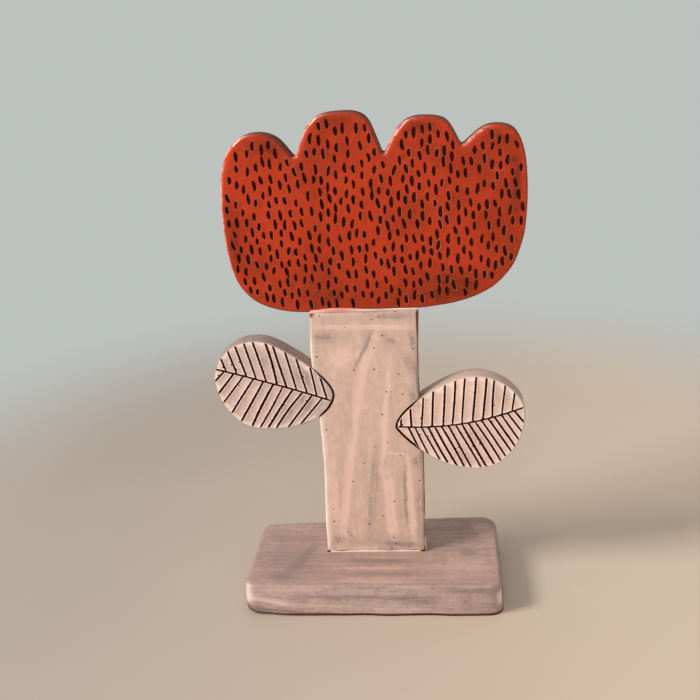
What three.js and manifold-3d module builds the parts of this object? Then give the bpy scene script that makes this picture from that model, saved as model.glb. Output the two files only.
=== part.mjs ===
// A slab-built ceramic flower: a carved head on a broad stem with two leaves, on a thick base.
// Millimetres, +Z up, the front faces -Y. The origin is the centre of the base's underside.
import * as THREE from 'three';
import { mergeGeometries, mergeVertices } from 'three/addons/utils/BufferGeometryUtils.js';
import Module from 'manifold-3d';

const wasm = await Module();
wasm.setup();

// Base slab: a hand-cut block, a little deeper on its right than on its left
const BASE_WIDTH = 132;
const BASE_DEPTH_LEFT = 59.6;
const BASE_DEPTH_RIGHT = 65.6;
const BASE_THICKNESS = 17.4;
const BASE_CORNER_RADIUS = 4.5;
const BASE_EDGE_ROUND = 2;

// Rolled slab that the stem, the head and both leaves are cut from
const SLAB_THICKNESS = 10;

// Stem: its place on the base, from the base's centre line and front face, and its size
const STEM_OFFSET = 1.4;
const STEM_SETBACK = 31.3;
const STEM_WIDTH = 52.2;
const STEM_HEIGHT = 136.2;
const STEM_EDGE_ROUND = 1.2;

// Flower head: the widest points, from the stem's centre line and the seam on the stem's top
const HEAD_REACH_LEFT = 63.4;
const HEAD_REACH_RIGHT = 80.3;
const HEAD_WIDEST_LEFT = 42;
const HEAD_WIDEST_RIGHT = 54;
const HEAD_EDGE_ROUND = 2.2;
const HEAD_SEAT_MARGIN = 0.4;

// Gouge marks in staggered rows on both faces of the head: a long diamond over a pointed floor,
// leaning a few degrees from upright
const MARK_SPACING = 9.2;
const MARK_LENGTH = 5.2;
const MARK_WIDTH = 2.1;
const MARK_DEPTH = 1;
const MARK_LEAN = 4;

// Petals from left to right: the crest's place across the head and its height above the seam,
// and how full the curve is on each side of it. A fullness is the share of the run to the
// notch, or to the widest point, that stays level.
const FIRST_PETAL = {
  across: -43.5,
  height: 86.6,
  fullLeft: 0.86,
  fullRight: 0.56,
};
const SECOND_PETAL = {
  across: -6,
  height: 94.1,
  fullLeft: 0.76,
  fullRight: 0.78,
};
const THIRD_PETAL = {
  across: 33.8,
  height: 90,
  fullLeft: 0.63,
  fullRight: 0.69,
};
const FOURTH_PETAL = {
  across: 66.3,
  height: 84.5,
  fullLeft: 0.5,
  fullRight: 0.73,
};

// Notches between the petals: the foot of each, and how steeply its two flanks leave it
const LEFT_NOTCH = {
  across: -26.6,
  height: 75.5,
  steepLeft: 0.55,
  steepRight: 0.5,
};
const MIDDLE_NOTCH = {
  across: 15.2,
  height: 75,
  steepLeft: 0.85,
  steepRight: 0.6,
};
const RIGHT_NOTCH = {
  across: 51.2,
  height: 77,
  steepLeft: 0.72,
  steepRight: 0.38,
};
const NOTCH_WIDTH = 1.6;
const NOTCH_DIP = 0.5;

// Leaves: the tip's lap over the stem's side, its drop below the seam and the tilt of the
// midrib, then the egg-shaped outline measured from the tip along that midrib.
// The tip, inner, outer and end values are shares of a half width or of a run that the curve
// keeps to. The rib values are the midrib's height over its chord, and the vein angle is
// measured from that chord.
const LEFT_LEAF = {
  side: 'left',
  lap: 9.3,
  drop: 45.7,
  tilt: 13.6,
  length: 62,
  widest: 39.5,
  upper: 22.4,
  lower: 25.9,
  tipUpper: 0.41,
  tipLower: 0.5,
  innerUpper: 0.25,
  innerLower: 0.54,
  outerUpper: 0.49,
  outerLower: 0.44,
  endUpper: 0.62,
  endLower: 0.45,
  ribTip: -2.5,
  ribMiddle: 0.6,
  ribEnd: 2.6,
  veinAngle: 66,
};
const RIGHT_LEAF = {
  side: 'right',
  lap: 12,
  drop: 64,
  tilt: 8.5,
  length: 65.1,
  widest: 40.8,
  upper: 21.7,
  lower: 30.3,
  tipUpper: 0.38,
  tipLower: 0.02,
  innerUpper: 0.37,
  innerLower: 0.64,
  outerUpper: 0.5,
  outerLower: 0.55,
  endUpper: 0.45,
  endLower: 0.46,
  ribTip: 0.9,
  ribMiddle: -3.4,
  ribEnd: 0.3,
  veinAngle: 73,
};
const LEAF_EDGE_ROUND = 1;

// Veins incised into both faces of a leaf: a V-shaped midrib and pairs of side veins
const VEIN_SPACING = 11;
const VEIN_WIDTH = 1.3;
const VEIN_DEPTH = 0.8;
const RIB_START = 0.06;
const RIB_END = 0.95;

// Joints: the slip that lutes the pieces, the room round a leaf's lap, the coil round the foot
const SLIP_THICKNESS = 0.6;
const JOINT_GAP = 0.3;
const COIL_SIZE = 2;

// Facets of the curves
const CURVE_STEPS = 10;
const ROUND_STEPS = 2;

// Share of a notch's run that its flank leaves it by, and the shape of the head's sides
const NOTCH_FLARE = 0.28;
const SHOULDER_FULL_LEFT = 0.58;
const SHOULDER_FULL_RIGHT = 0.82;
const BELLY_LEVEL = 0.72;
const BELLY_UPRIGHT = 0.72;
const BELLY_RISE = 0.04;

// Values worked out from the sizes above, in the frame of the upright pieces: x from the
// stem's centre line, y from the slabs' front face, z from the base's top
const baseDepth = (BASE_DEPTH_LEFT + BASE_DEPTH_RIGHT) / 2;
const stemFront = STEM_SETBACK - baseDepth / 2;
const stemFoot = SLIP_THICKNESS;
const stemTop = stemFoot + STEM_HEIGHT;
const seam = stemTop + SLIP_THICKNESS;
const stemSide = STEM_WIDTH / 2;
const lapDepth = SLAB_THICKNESS / 2;
const pocketDepth = lapDepth + SLIP_THICKNESS;
const beyond = 2 * (HEAD_REACH_LEFT + HEAD_REACH_RIGHT);

const glaze = {
  red: { color: '#bf3f24', roughness: 0.28, metalness: 0 },
  pale: { color: '#d5b09c', roughness: 0.5, metalness: 0 },
  clay: { color: '#8a4a2c', roughness: 0.85, metalness: 0 },
};

// Closed solid of a geometry, with its shared corners merged
function solidOf(geometry) {
  const bare = geometry.clone();
  bare.deleteAttribute('normal');
  bare.deleteAttribute('uv');
  const merged = mergeVertices(bare);
  const vertProperties = new Float32Array(merged.attributes.position.array);
  const triVerts = new Uint32Array(merged.index.array);
  return new wasm.Manifold(new wasm.Mesh({ numProp: 3, vertProperties, triVerts }));
}

// Geometry of a closed solid
function geometryOf(solid) {
  const { vertProperties, triVerts } = solid.getMesh();
  const geometry = new THREE.BufferGeometry();
  geometry.setAttribute('position', new THREE.BufferAttribute(new Float32Array(vertProperties), 3));
  geometry.setIndex(new THREE.BufferAttribute(new Uint32Array(triVerts), 1));
  geometry.computeVertexNormals();
  return geometry;
}

// Named piece with a finish of its own
function piece(name, solid, finish) {
  const mesh = new THREE.Mesh(geometryOf(solid), new THREE.MeshStandardMaterial(finish));
  mesh.name = name;
  return mesh;
}

// Block between two corners
function block(low, high) {
  const size = new THREE.Vector3().subVectors(high, low);
  const centre = new THREE.Vector3().addVectors(low, high).multiplyScalar(0.5);
  return solidOf(new THREE.BoxGeometry(size.x, size.y, size.z).translate(centre.x, centre.y, centre.z));
}

// Level slab of an outline in plan, standing on z = 0, with softened upper and lower edges
function levelSlab(outline, thickness, round) {
  const geometry = new THREE.ExtrudeGeometry(outline, {
    depth: thickness - 2 * round,
    bevelThickness: round,
    bevelSize: round,
    bevelOffset: -round,
    bevelSegments: ROUND_STEPS,
    curveSegments: CURVE_STEPS,
  });
  return solidOf(geometry.translate(0, 0, round));
}

// Level slab with square edges
function levelPlate(outline, thickness) {
  return solidOf(new THREE.ExtrudeGeometry(outline, {
    depth: thickness,
    bevelEnabled: false,
    curveSegments: CURVE_STEPS,
  }));
}

// Upright slab of an outline in elevation: its front face is y = 0 and its edges are softened
function uprightSlab(outline, round) {
  return levelSlab(outline, SLAB_THICKNESS, round)
    .rotate([90, 0, 0])
    .translate([0, SLAB_THICKNESS, 0]);
}

// Upright prism of an outline grown by a margin, from one depth behind the front to another
function uprightPrism(outline, grow, front, back) {
  const geometry = new THREE.ExtrudeGeometry(outline, {
    depth: back - front,
    bevelThickness: 0,
    bevelSize: 0,
    bevelOffset: grow,
    bevelSegments: 0,
    curveSegments: CURVE_STEPS,
  });
  return solidOf(geometry).rotate([90, 0, 0]).translate([0, back, 0]);
}

// Distance from a place to the nearest side of a closed outline, below zero outside it
function roomInside(corners, place) {
  let within = false;
  let room = beyond;
  corners.forEach((start, i) => {
    const end = corners[(i + 1) % corners.length];
    const side = end.clone().sub(start);
    if (side.length() === 0) return;
    const share = place.clone().sub(start).dot(side) / side.lengthSq();
    const foot = start.clone().addScaledVector(side, THREE.MathUtils.clamp(share, 0, 1));
    room = Math.min(room, foot.distanceTo(place));
    const crosses = (start.y > place.y) !== (end.y > place.y);
    if (crosses && place.x < start.x + side.x * (place.y - start.y) / side.y) within = !within;
  });
  return within ? room : -room;
}

// Rectangle in plan with rounded corners, grown by a margin
function stemSection(grow) {
  const left = -stemSide - grow;
  const right = stemSide + grow;
  const front = -grow;
  const back = SLAB_THICKNESS + grow;
  const radius = STEM_EDGE_ROUND + grow;
  const section = new THREE.Shape();
  section.absarc(right - radius, front + radius, radius, -Math.PI / 2, 0);
  section.absarc(right - radius, back - radius, radius, 0, Math.PI / 2);
  section.absarc(left + radius, back - radius, radius, Math.PI / 2, Math.PI);
  section.absarc(left + radius, front + radius, radius, Math.PI, 1.5 * Math.PI);
  return section;
}

// Base in plan: a straight front edge and a back edge that runs out of square
function baseOutline() {
  const half = BASE_WIDTH / 2;
  const front = -baseDepth / 2;
  const corners = [
    new THREE.Vector2(-half, front),
    new THREE.Vector2(half, front),
    new THREE.Vector2(half, front + BASE_DEPTH_RIGHT),
    new THREE.Vector2(-half, front + BASE_DEPTH_LEFT),
  ];
  const outline = new THREE.Shape();
  corners.forEach((corner, i) => {
    const before = corners[(i + corners.length - 1) % corners.length];
    const after = corners[(i + 1) % corners.length];
    const inward = before.clone().sub(corner).setLength(BASE_CORNER_RADIUS).add(corner);
    const outward = after.clone().sub(corner).setLength(BASE_CORNER_RADIUS).add(corner);
    if (i === 0) outline.moveTo(inward.x, inward.y);
    else outline.lineTo(inward.x, inward.y);
    outline.quadraticCurveTo(corner.x, corner.y, outward.x, outward.y);
  });
  return outline;
}

// Flower head in elevation, anticlockwise from the left end of its seat on the stem.
// The seat is drawn below the seam by the edge's round, which the seam's cut takes off again.
function headOutline() {
  const seat = stemSide + HEAD_SEAT_MARGIN;
  const belly = seat + HEAD_EDGE_ROUND;
  const outline = new THREE.Shape();
  outline.moveTo(-seat, seam - HEAD_EDGE_ROUND);
  outline.lineTo(seat, seam - HEAD_EDGE_ROUND);
  outline.lineTo(belly, seam);

  const rightZ = seam + HEAD_WIDEST_RIGHT;
  outline.bezierCurveTo(
    belly + BELLY_LEVEL * (HEAD_REACH_RIGHT - belly), seam + BELLY_RISE * HEAD_WIDEST_RIGHT,
    HEAD_REACH_RIGHT, rightZ - BELLY_UPRIGHT * HEAD_WIDEST_RIGHT,
    HEAD_REACH_RIGHT, rightZ,
  );

  const onHead = (feature) => ({ ...feature, x: feature.across, z: seam + feature.height });
  const crests = [FIRST_PETAL, SECOND_PETAL, THIRD_PETAL, FOURTH_PETAL].map(onHead);
  const feet = [LEFT_NOTCH, MIDDLE_NOTCH, RIGHT_NOTCH].map(onHead);
  const last = crests[crests.length - 1];
  outline.bezierCurveTo(
    HEAD_REACH_RIGHT, rightZ + SHOULDER_FULL_RIGHT * (last.z - rightZ),
    last.x + last.fullRight * (HEAD_REACH_RIGHT - last.x), last.z,
    last.x, last.z,
  );

  for (let i = feet.length - 1; i >= 0; i -= 1) {
    const right = crests[i + 1];
    const left = crests[i];
    const foot = feet[i];
    const footRight = foot.x + NOTCH_WIDTH / 2;
    const footLeft = foot.x - NOTCH_WIDTH / 2;
    outline.bezierCurveTo(
      right.x - right.fullLeft * (right.x - footRight), right.z,
      footRight + NOTCH_FLARE * (right.x - footRight), foot.z + foot.steepRight * (right.z - foot.z),
      footRight, foot.z,
    );
    outline.quadraticCurveTo(foot.x, foot.z - 2 * NOTCH_DIP, footLeft, foot.z);
    outline.bezierCurveTo(
      footLeft - NOTCH_FLARE * (footLeft - left.x), foot.z + foot.steepLeft * (left.z - foot.z),
      left.x + left.fullRight * (footLeft - left.x), left.z,
      left.x, left.z,
    );
  }

  const first = crests[0];
  const leftZ = seam + HEAD_WIDEST_LEFT;
  outline.bezierCurveTo(
    first.x - first.fullLeft * (first.x + HEAD_REACH_LEFT), first.z,
    -HEAD_REACH_LEFT, leftZ + SHOULDER_FULL_LEFT * (first.z - leftZ),
    -HEAD_REACH_LEFT, leftZ,
  );
  outline.bezierCurveTo(
    -HEAD_REACH_LEFT, leftZ - BELLY_UPRIGHT * HEAD_WIDEST_LEFT,
    -belly - BELLY_LEVEL * (HEAD_REACH_LEFT - belly), seam + BELLY_RISE * HEAD_WIDEST_LEFT,
    -belly, seam,
  );
  return outline;
}

// Leaf in elevation: an egg drawn from its tip along its midrib, then turned and set on the stem
function leafOutline(leaf) {
  const egg = new THREE.Shape();
  const outer = leaf.length - leaf.widest;
  egg.moveTo(0, 0);
  egg.bezierCurveTo(
    0, -leaf.tipLower * leaf.lower,
    leaf.widest - leaf.innerLower * leaf.widest, -leaf.lower,
    leaf.widest, -leaf.lower,
  );
  egg.bezierCurveTo(
    leaf.widest + leaf.outerLower * outer, -leaf.lower,
    leaf.length, -leaf.endLower * leaf.lower,
    leaf.length, 0,
  );
  egg.bezierCurveTo(
    leaf.length, leaf.endUpper * leaf.upper,
    leaf.widest + leaf.outerUpper * outer, leaf.upper,
    leaf.widest, leaf.upper,
  );
  egg.bezierCurveTo(
    leaf.widest - leaf.innerUpper * leaf.widest, leaf.upper,
    0, leaf.tipUpper * leaf.upper,
    0, 0,
  );
  return new THREE.Shape(egg.getPoints(CURVE_STEPS).map((point) => onStem(leaf, point)));
}

// Place in elevation of a point that is measured from a leaf's tip along and above its chord
function onStem(leaf, point) {
  const turned = point.clone().rotateAround(new THREE.Vector2(), THREE.MathUtils.degToRad(leaf.tilt));
  const tip = new THREE.Vector2(outward(leaf) * (stemSide - leaf.lap), seam - leaf.drop);
  return new THREE.Vector2(outward(leaf) * turned.x, turned.y).add(tip);
}

// Direction along X in which a leaf grows away from the stem
function outward(leaf) {
  return leaf.side === 'left' ? -1 : 1;
}

// Point of a leaf's midrib: two straight runs that meet halfway along the leaf
function ribPoint(leaf, share) {
  const near = THREE.MathUtils.mapLinear(share, 0, 0.5, leaf.ribTip, leaf.ribMiddle);
  const far = THREE.MathUtils.mapLinear(share, 0.5, 1, leaf.ribMiddle, leaf.ribEnd);
  return new THREE.Vector2(share * leaf.length, share < 0.5 ? near : far);
}

// Straight groove of diamond section between two places in elevation, centred on a face
function groove(start, end, face) {
  const run = end.clone().sub(start);
  const middle = end.clone().add(start).multiplyScalar(0.5);
  const bar = new THREE.CylinderGeometry(1, 1, run.length(), 4)
    .scale(VEIN_WIDTH / 2, 1, VEIN_DEPTH)
    .rotateX(Math.PI / 2)
    .rotateY(Math.atan2(run.x, run.y))
    .translate(middle.x, face, middle.y);
  return solidOf(bar);
}

// Side vein of a leaf, above (1) or below (-1) the midrib, from the rib to just short of the rim
function sideVein(leaf, along, sign) {
  const foot = ribPoint(leaf, along / leaf.length);
  const angle = sign * THREE.MathUtils.degToRad(leaf.veinAngle);
  const step = new THREE.Vector2(VEIN_WIDTH, 0).rotateAround(new THREE.Vector2(), angle);
  const rim = leafOutline(leaf).getPoints();
  const margin = LEAF_EDGE_ROUND + VEIN_WIDTH / 2;
  const end = foot.clone();
  while (roomInside(rim, onStem(leaf, end.clone().add(step))) > margin) end.add(step);
  return [onStem(leaf, foot), onStem(leaf, end)];
}

// Midrib and side veins of a leaf, cut into its front and back faces
function leafVeins(leaf) {
  const rib = [RIB_START, 0.5, RIB_END].map((share) => onStem(leaf, ribPoint(leaf, share)));
  const lines = [[rib[0], rib[1]], [rib[1], rib[2]]];
  for (let along = VEIN_SPACING; along < RIB_END * leaf.length; along += VEIN_SPACING) {
    lines.push(sideVein(leaf, along, 1), sideVein(leaf, along, -1));
  }
  const long = lines.filter(([start, end]) => start.distanceTo(end) > VEIN_SPACING / 2);
  const onFace = (face) => long.map(([start, end]) => groove(start, end, face));
  return [...onFace(0), ...onFace(SLAB_THICKNESS)].reduce((joined, next) => joined.add(next));
}

// Block that covers everything from a place beside the stem, on a leaf's side, to past the stem
function stemward(leaf, from, front, back) {
  const near = outward(leaf) * from;
  const far = outward(leaf) * (from - beyond);
  return block(
    new THREE.Vector3(Math.min(near, far), front, -beyond),
    new THREE.Vector3(Math.max(near, far), back, beyond),
  );
}

// Leaf: the tip is a half-thickness lap over the stem, the rest butts against the stem's side
function leafSolid(leaf) {
  const outline = leafOutline(leaf);
  const behindLap = stemward(leaf, stemSide + SLIP_THICKNESS, lapDepth, SLAB_THICKNESS + beyond);
  return uprightSlab(outline, LEAF_EDGE_ROUND).subtract(behindLap).subtract(leafVeins(leaf));
}

// Pocket for a leaf's lap, cut into the stem's front face
function leafPocket(leaf) {
  return uprightPrism(leafOutline(leaf), JOINT_GAP, -JOINT_GAP, pocketDepth);
}

// Slip of a leaf: a bed under the lap and a sheet down the butted side, in one layer
function leafSlip(leaf) {
  const outline = leafOutline(leaf);
  const reach = stemSide + SLIP_THICKNESS;
  const bed = uprightPrism(outline, 0, lapDepth, pocketDepth)
    .intersect(stemward(leaf, reach, lapDepth, pocketDepth));
  const sheetBack = SLAB_THICKNESS - STEM_EDGE_ROUND;
  const beside = stemward(leaf, reach, lapDepth, sheetBack)
    .subtract(stemward(leaf, stemSide, lapDepth - JOINT_GAP, sheetBack + JOINT_GAP));
  return bed.add(uprightPrism(outline, 0, lapDepth, sheetBack).intersect(beside));
}

// Stem: a straight bar with softened corners, square at both ends
function stemSolid() {
  const bar = levelPlate(stemSection(0), STEM_HEIGHT).translate([0, 0, stemFoot]);
  return bar.subtract(leafPocket(LEFT_LEAF)).subtract(leafPocket(RIGHT_LEAF));
}

// Gouge marks of the head, cut into its front and back faces where a whole mark clears the rim
function headMarks() {
  const rim = headOutline().getPoints(CURVE_STEPS);
  const rise = MARK_SPACING * Math.sqrt(3) / 2;
  const rows = Math.ceil(SECOND_PETAL.height / rise);
  const columns = Math.ceil((HEAD_REACH_LEFT + HEAD_REACH_RIGHT) / MARK_SPACING);
  const margin = HEAD_EDGE_ROUND + MARK_WIDTH / 2;
  const marks = [];
  for (let i = 0; i < rows * columns; i += 1) {
    const row = Math.floor(i / columns);
    const across = ((i % columns) + (row % 2) / 2) * MARK_SPACING - HEAD_REACH_LEFT;
    const middle = new THREE.Vector2(across, seam + (row + 0.5) * rise);
    const reach = new THREE.Vector2(0, MARK_LENGTH / 2);
    const ends = [middle.clone().add(reach), middle.clone().sub(reach)];
    if (ends.some((end) => roomInside(rim, end) < margin)) continue;
    for (const face of [0, SLAB_THICKNESS]) {
      marks.push(new THREE.OctahedronGeometry(1)
        .scale(MARK_WIDTH / 2, MARK_DEPTH, MARK_LENGTH / 2)
        .rotateY(THREE.MathUtils.degToRad(MARK_LEAN))
        .translate(middle.x, face, middle.y));
    }
  }
  return solidOf(mergeGeometries(marks));
}

// Flower head: a scalloped slab cut square where it sits on the stem, then carved
function headSolid() {
  const below = block(
    new THREE.Vector3(-beyond, -beyond, seam - beyond),
    new THREE.Vector3(beyond, beyond, seam),
  );
  return uprightSlab(headOutline(), HEAD_EDGE_ROUND).subtract(below).subtract(headMarks());
}

// Coil pressed into the corner round the stem's foot: a quarter-round ring
function coilSolid() {
  const roll = levelSlab(stemSection(COIL_SIZE), 2 * COIL_SIZE, COIL_SIZE - JOINT_GAP)
    .translate([0, 0, -COIL_SIZE]);
  const below = block(new THREE.Vector3(-beyond, -beyond, -beyond), new THREE.Vector3(beyond, beyond, 0));
  const room = levelPlate(stemSection(JOINT_GAP), 2 * COIL_SIZE).translate([0, 0, -JOINT_GAP]);
  return roll.subtract(below).subtract(room);
}

const flower = new THREE.Group();
flower.add(piece('base_slab', levelSlab(baseOutline(), BASE_THICKNESS, BASE_EDGE_ROUND), glaze.pale));

const upright = new THREE.Group();
upright.position.set(STEM_OFFSET, stemFront, BASE_THICKNESS);
flower.add(upright);

const slipPlate = levelPlate(stemSection(0), SLIP_THICKNESS);
upright.add(piece('foot_slip_bed', slipPlate, glaze.clay));
upright.add(piece('foot_coil', coilSolid(), glaze.pale));
upright.add(piece('stem_slab', stemSolid(), glaze.pale));
upright.add(piece('left_leaf_slip', leafSlip(LEFT_LEAF), glaze.clay));
upright.add(piece('left_leaf', leafSolid(LEFT_LEAF), glaze.pale));
upright.add(piece('right_leaf_slip', leafSlip(RIGHT_LEAF), glaze.clay));
upright.add(piece('right_leaf', leafSolid(RIGHT_LEAF), glaze.pale));
upright.add(piece('head_slip_seam', slipPlate.translate([0, 0, stemTop]), glaze.clay));
upright.add(piece('flower_head', headSolid(), glaze.red));

export default flower;
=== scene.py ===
"""Ceramic flower: a carved red flower head on a pale stem with two leaves, standing on a thick base.

Every clay piece is a hand-cut slab: an outline with a softened rim and two faces that carry tool cuts.
Shapes are worked out in millimetres as whole numpy arrays and put into the meshes in metres.
"""

import logging
from dataclasses import dataclass, field
from enum import Enum

import bpy
import numpy as np
from mathutils import Matrix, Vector
from mathutils.geometry import delaunay_2d_cdt


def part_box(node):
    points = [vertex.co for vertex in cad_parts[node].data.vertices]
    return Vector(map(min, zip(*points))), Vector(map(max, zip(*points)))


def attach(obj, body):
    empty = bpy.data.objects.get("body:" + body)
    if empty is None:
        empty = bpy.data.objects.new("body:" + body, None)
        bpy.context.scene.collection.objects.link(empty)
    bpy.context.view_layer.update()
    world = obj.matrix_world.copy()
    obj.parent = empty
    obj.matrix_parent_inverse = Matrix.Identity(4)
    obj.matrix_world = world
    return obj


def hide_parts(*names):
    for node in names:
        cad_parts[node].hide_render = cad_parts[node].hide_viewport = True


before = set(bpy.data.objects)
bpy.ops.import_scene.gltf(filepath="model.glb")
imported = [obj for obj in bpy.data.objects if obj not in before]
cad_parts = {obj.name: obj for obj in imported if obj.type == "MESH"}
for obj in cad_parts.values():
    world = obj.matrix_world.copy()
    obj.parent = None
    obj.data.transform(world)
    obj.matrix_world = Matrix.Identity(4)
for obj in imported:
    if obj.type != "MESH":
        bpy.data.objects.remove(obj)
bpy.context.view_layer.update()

LOG = logging.getLogger("ceramic_flower")
MM = 0.001
BODY = "root"
SHARP_ANGLE = 48.0

Array = np.ndarray
Colour = tuple[float, float, float, float]
Material = bpy.types.Material
Piece = bpy.types.Object


def srgb(red: int, green: int, blue: int) -> Colour:
    """Linear colour of an sRGB triple.

    Args:
        red: Red from 0 to 255.
        green: Green from 0 to 255.
        blue: Blue from 0 to 255.

    Returns:
        Linear red, green and blue, with full alpha.
    """
    share = np.array([red, green, blue]) / 255.0
    linear = np.where(share <= 0.04045, share / 12.92, ((share + 0.055) / 1.055) ** 2.4)
    return (*linear.tolist(), 1.0)


def clamp(values: Array) -> Array:
    """Values held between 0 and 1."""
    return np.clip(values, 0.0, 1.0)


def bell(away: Array, reach: float) -> Array:
    """Bell curve: 1 at no distance, about a third at the reach and nearly 0 at twice the reach."""
    return np.exp(-((away / reach) ** 2))


def bezier_chain(knots: list, steps: int) -> Array:
    """Cubic Bezier curves joined end to end: the Bernstein sum of each curve's four knots.

    Args:
        knots: One list of four (across, up) knots for each curve.
        steps: Points on each curve, its last knot left to the next curve.

    Returns:
        Points as an array of shape (curves * steps, 2).
    """
    share = np.linspace(0.0, 1.0, steps, endpoint=False)
    rest = 1.0 - share
    weight = np.stack([rest**3, 3 * rest**2 * share, 3 * rest * share**2, share**3])
    return np.einsum("ks,ckd->csd", weight, np.array(knots, dtype=float)).reshape(-1, 2)


def straight(start: tuple, end: tuple) -> list:
    """Knots of a straight Bezier curve between two points."""
    first, last = np.array(start, dtype=float), np.array(end, dtype=float)
    return [first, first + (last - first) / 3, first + (last - first) * 2 / 3, last]


def arc(start: tuple, end: tuple, leave: tuple, arrive: tuple) -> Array:
    """Knots of a cubic curve, its handles given as shares (across, up) of the span from start to end.

    Args:
        start: First point.
        end: Last point.
        leave: Handle at the start.
        arrive: Handle at the end.

    Returns:
        Four knots.
    """
    first, last = np.array(start), np.array(end)
    span = last - first
    return np.array([first, first + span * np.array(leave), last - span * np.array(arrive), last])


def rounded_loop(corners: Array, soft: Array | float, pull: float, steps: int) -> Array:
    """A polygon with soft corners: straight sides, and at each corner a cubic curve pulled towards it.

    Args:
        corners: Corners of the polygon, shape (count, 2).
        soft: Distance from each corner to the ends of its curve, shape (count, 1), or one for all.
        pull: Share of that distance by which the curve's inner knots move towards the corner.
        steps: Points on each curve and each side.

    Returns:
        Points of the closed loop.
    """
    before, after = np.roll(corners, 1, axis=0), np.roll(corners, -1, axis=0)
    towards = (before - corners) / np.linalg.norm(before - corners, axis=1, keepdims=True)
    away = (after - corners) / np.linalg.norm(after - corners, axis=1, keepdims=True)
    enter, leave = corners + towards * soft, corners + away * soft
    pull_in, pull_out = enter + (corners - enter) * pull, leave + (corners - leave) * pull
    bends = np.stack([enter, pull_in, pull_out, leave], axis=1)
    sides = [straight(start, end) for start, end in zip(leave, np.roll(enter, -1, axis=0))]
    return bezier_chain([curve for pair in zip(bends, sides) for curve in pair], steps)


def resample(loop: Array, step: float) -> Array:
    """A closed loop walked at an even pace and turned anticlockwise.

    Args:
        loop: Points of the loop, shape (count, 2).
        step: Distance between neighbouring points of the result.

    Returns:
        Points at even distances along the loop, shape (count, 2).
    """
    following = np.roll(loop, -1, axis=0)
    area = (loop[:, 0] * following[:, 1] - following[:, 0] * loop[:, 1]).sum()
    loop = loop if area > 0 else loop[::-1]
    closed = np.vstack([loop, loop[:1]])
    run = np.concatenate([[0.0], np.cumsum(np.linalg.norm(np.diff(closed, axis=0), axis=1))])
    at = np.linspace(0.0, run[-1], int(round(run[-1] / step)), endpoint=False)
    return np.column_stack([np.interp(at, run, closed[:, 0]), np.interp(at, run, closed[:, 1])])


def outward(loop: Array) -> Array:
    """Unit normals that point out of an anticlockwise loop: the tangent turned right.

    Args:
        loop: Points of the loop, shape (count, 2).

    Returns:
        One normal for each point.
    """
    tangent = np.roll(loop, -1, axis=0) - np.roll(loop, 1, axis=0)
    normal = np.column_stack([tangent[:, 1], -tangent[:, 0]])
    return normal / np.linalg.norm(normal, axis=1, keepdims=True)


def inside(points: Array, loop: Array) -> Array:
    """Even-odd test: a point is inside where a ray to its right crosses the loop an odd number of times.

    Args:
        points: Points to test, shape (count, 2).
        loop: Closed loop, shape (length, 2).

    Returns:
        True for each point inside the loop.
    """
    start, end = loop, np.roll(loop, -1, axis=0)
    rise = end[:, 1] - start[:, 1]
    slope = (end[:, 0] - start[:, 0]) / np.where(rise == 0.0, 1e-12, rise)
    level = points[:, 1, None]
    spans = (start[:, 1] > level) != (end[:, 1] > level)
    crossing = start[:, 0] + (level - start[:, 1]) * slope
    return (spans & (points[:, 0, None] < crossing)).sum(axis=1) % 2 == 1


def nearest(points: Array, targets: Array) -> Array:
    """Distance to the nearest target, from |p - t|^2 = |p|^2 + |t|^2 - 2 p.t, in blocks to save memory.

    Args:
        points: Points, shape (count, 2).
        targets: Points to measure to, shape (length, 2).

    Returns:
        One distance for each point.
    """
    blocks = np.array_split(points, 1 + len(points) * len(targets) // 4_000_000)
    square = (targets**2).sum(axis=1)
    least = np.concatenate([(square - 2 * block @ targets.T).min(axis=1) for block in blocks])
    return np.sqrt(np.maximum(least + (points**2).sum(axis=1), 0.0))


def scatter(draw: np.random.Generator, outline: Array, margin: float, count: int) -> Array:
    """Even random places in an outline's box, less a margin on each side."""
    return draw.uniform(outline.min(axis=0) + margin, outline.max(axis=0) - margin, (count, 2))


@dataclass(frozen=True)
class Ripple:
    """Hand-made unevenness: the sum of seeded plane waves, scaled to a typical height."""

    seed: int
    length: float
    height: float
    waves: int = 12

    def at(self, points: Array) -> Array:
        """Height of the ripple.

        Args:
            points: Places in millimetres, with any number of columns.

        Returns:
            Height in millimetres at each place.
        """
        draw = np.random.default_rng(self.seed)
        heading = draw.normal(size=(self.waves, points.shape[-1]))
        heading /= np.linalg.norm(heading, axis=1, keepdims=True)
        heading *= 2 * np.pi / (self.length * draw.uniform(0.6, 1.8, (self.waves, 1)))
        phase = draw.uniform(0.0, 2 * np.pi, self.waves)
        return self.height * np.sin(points @ heading.T + phase).mean(axis=-1) * np.sqrt(self.waves)


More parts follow.
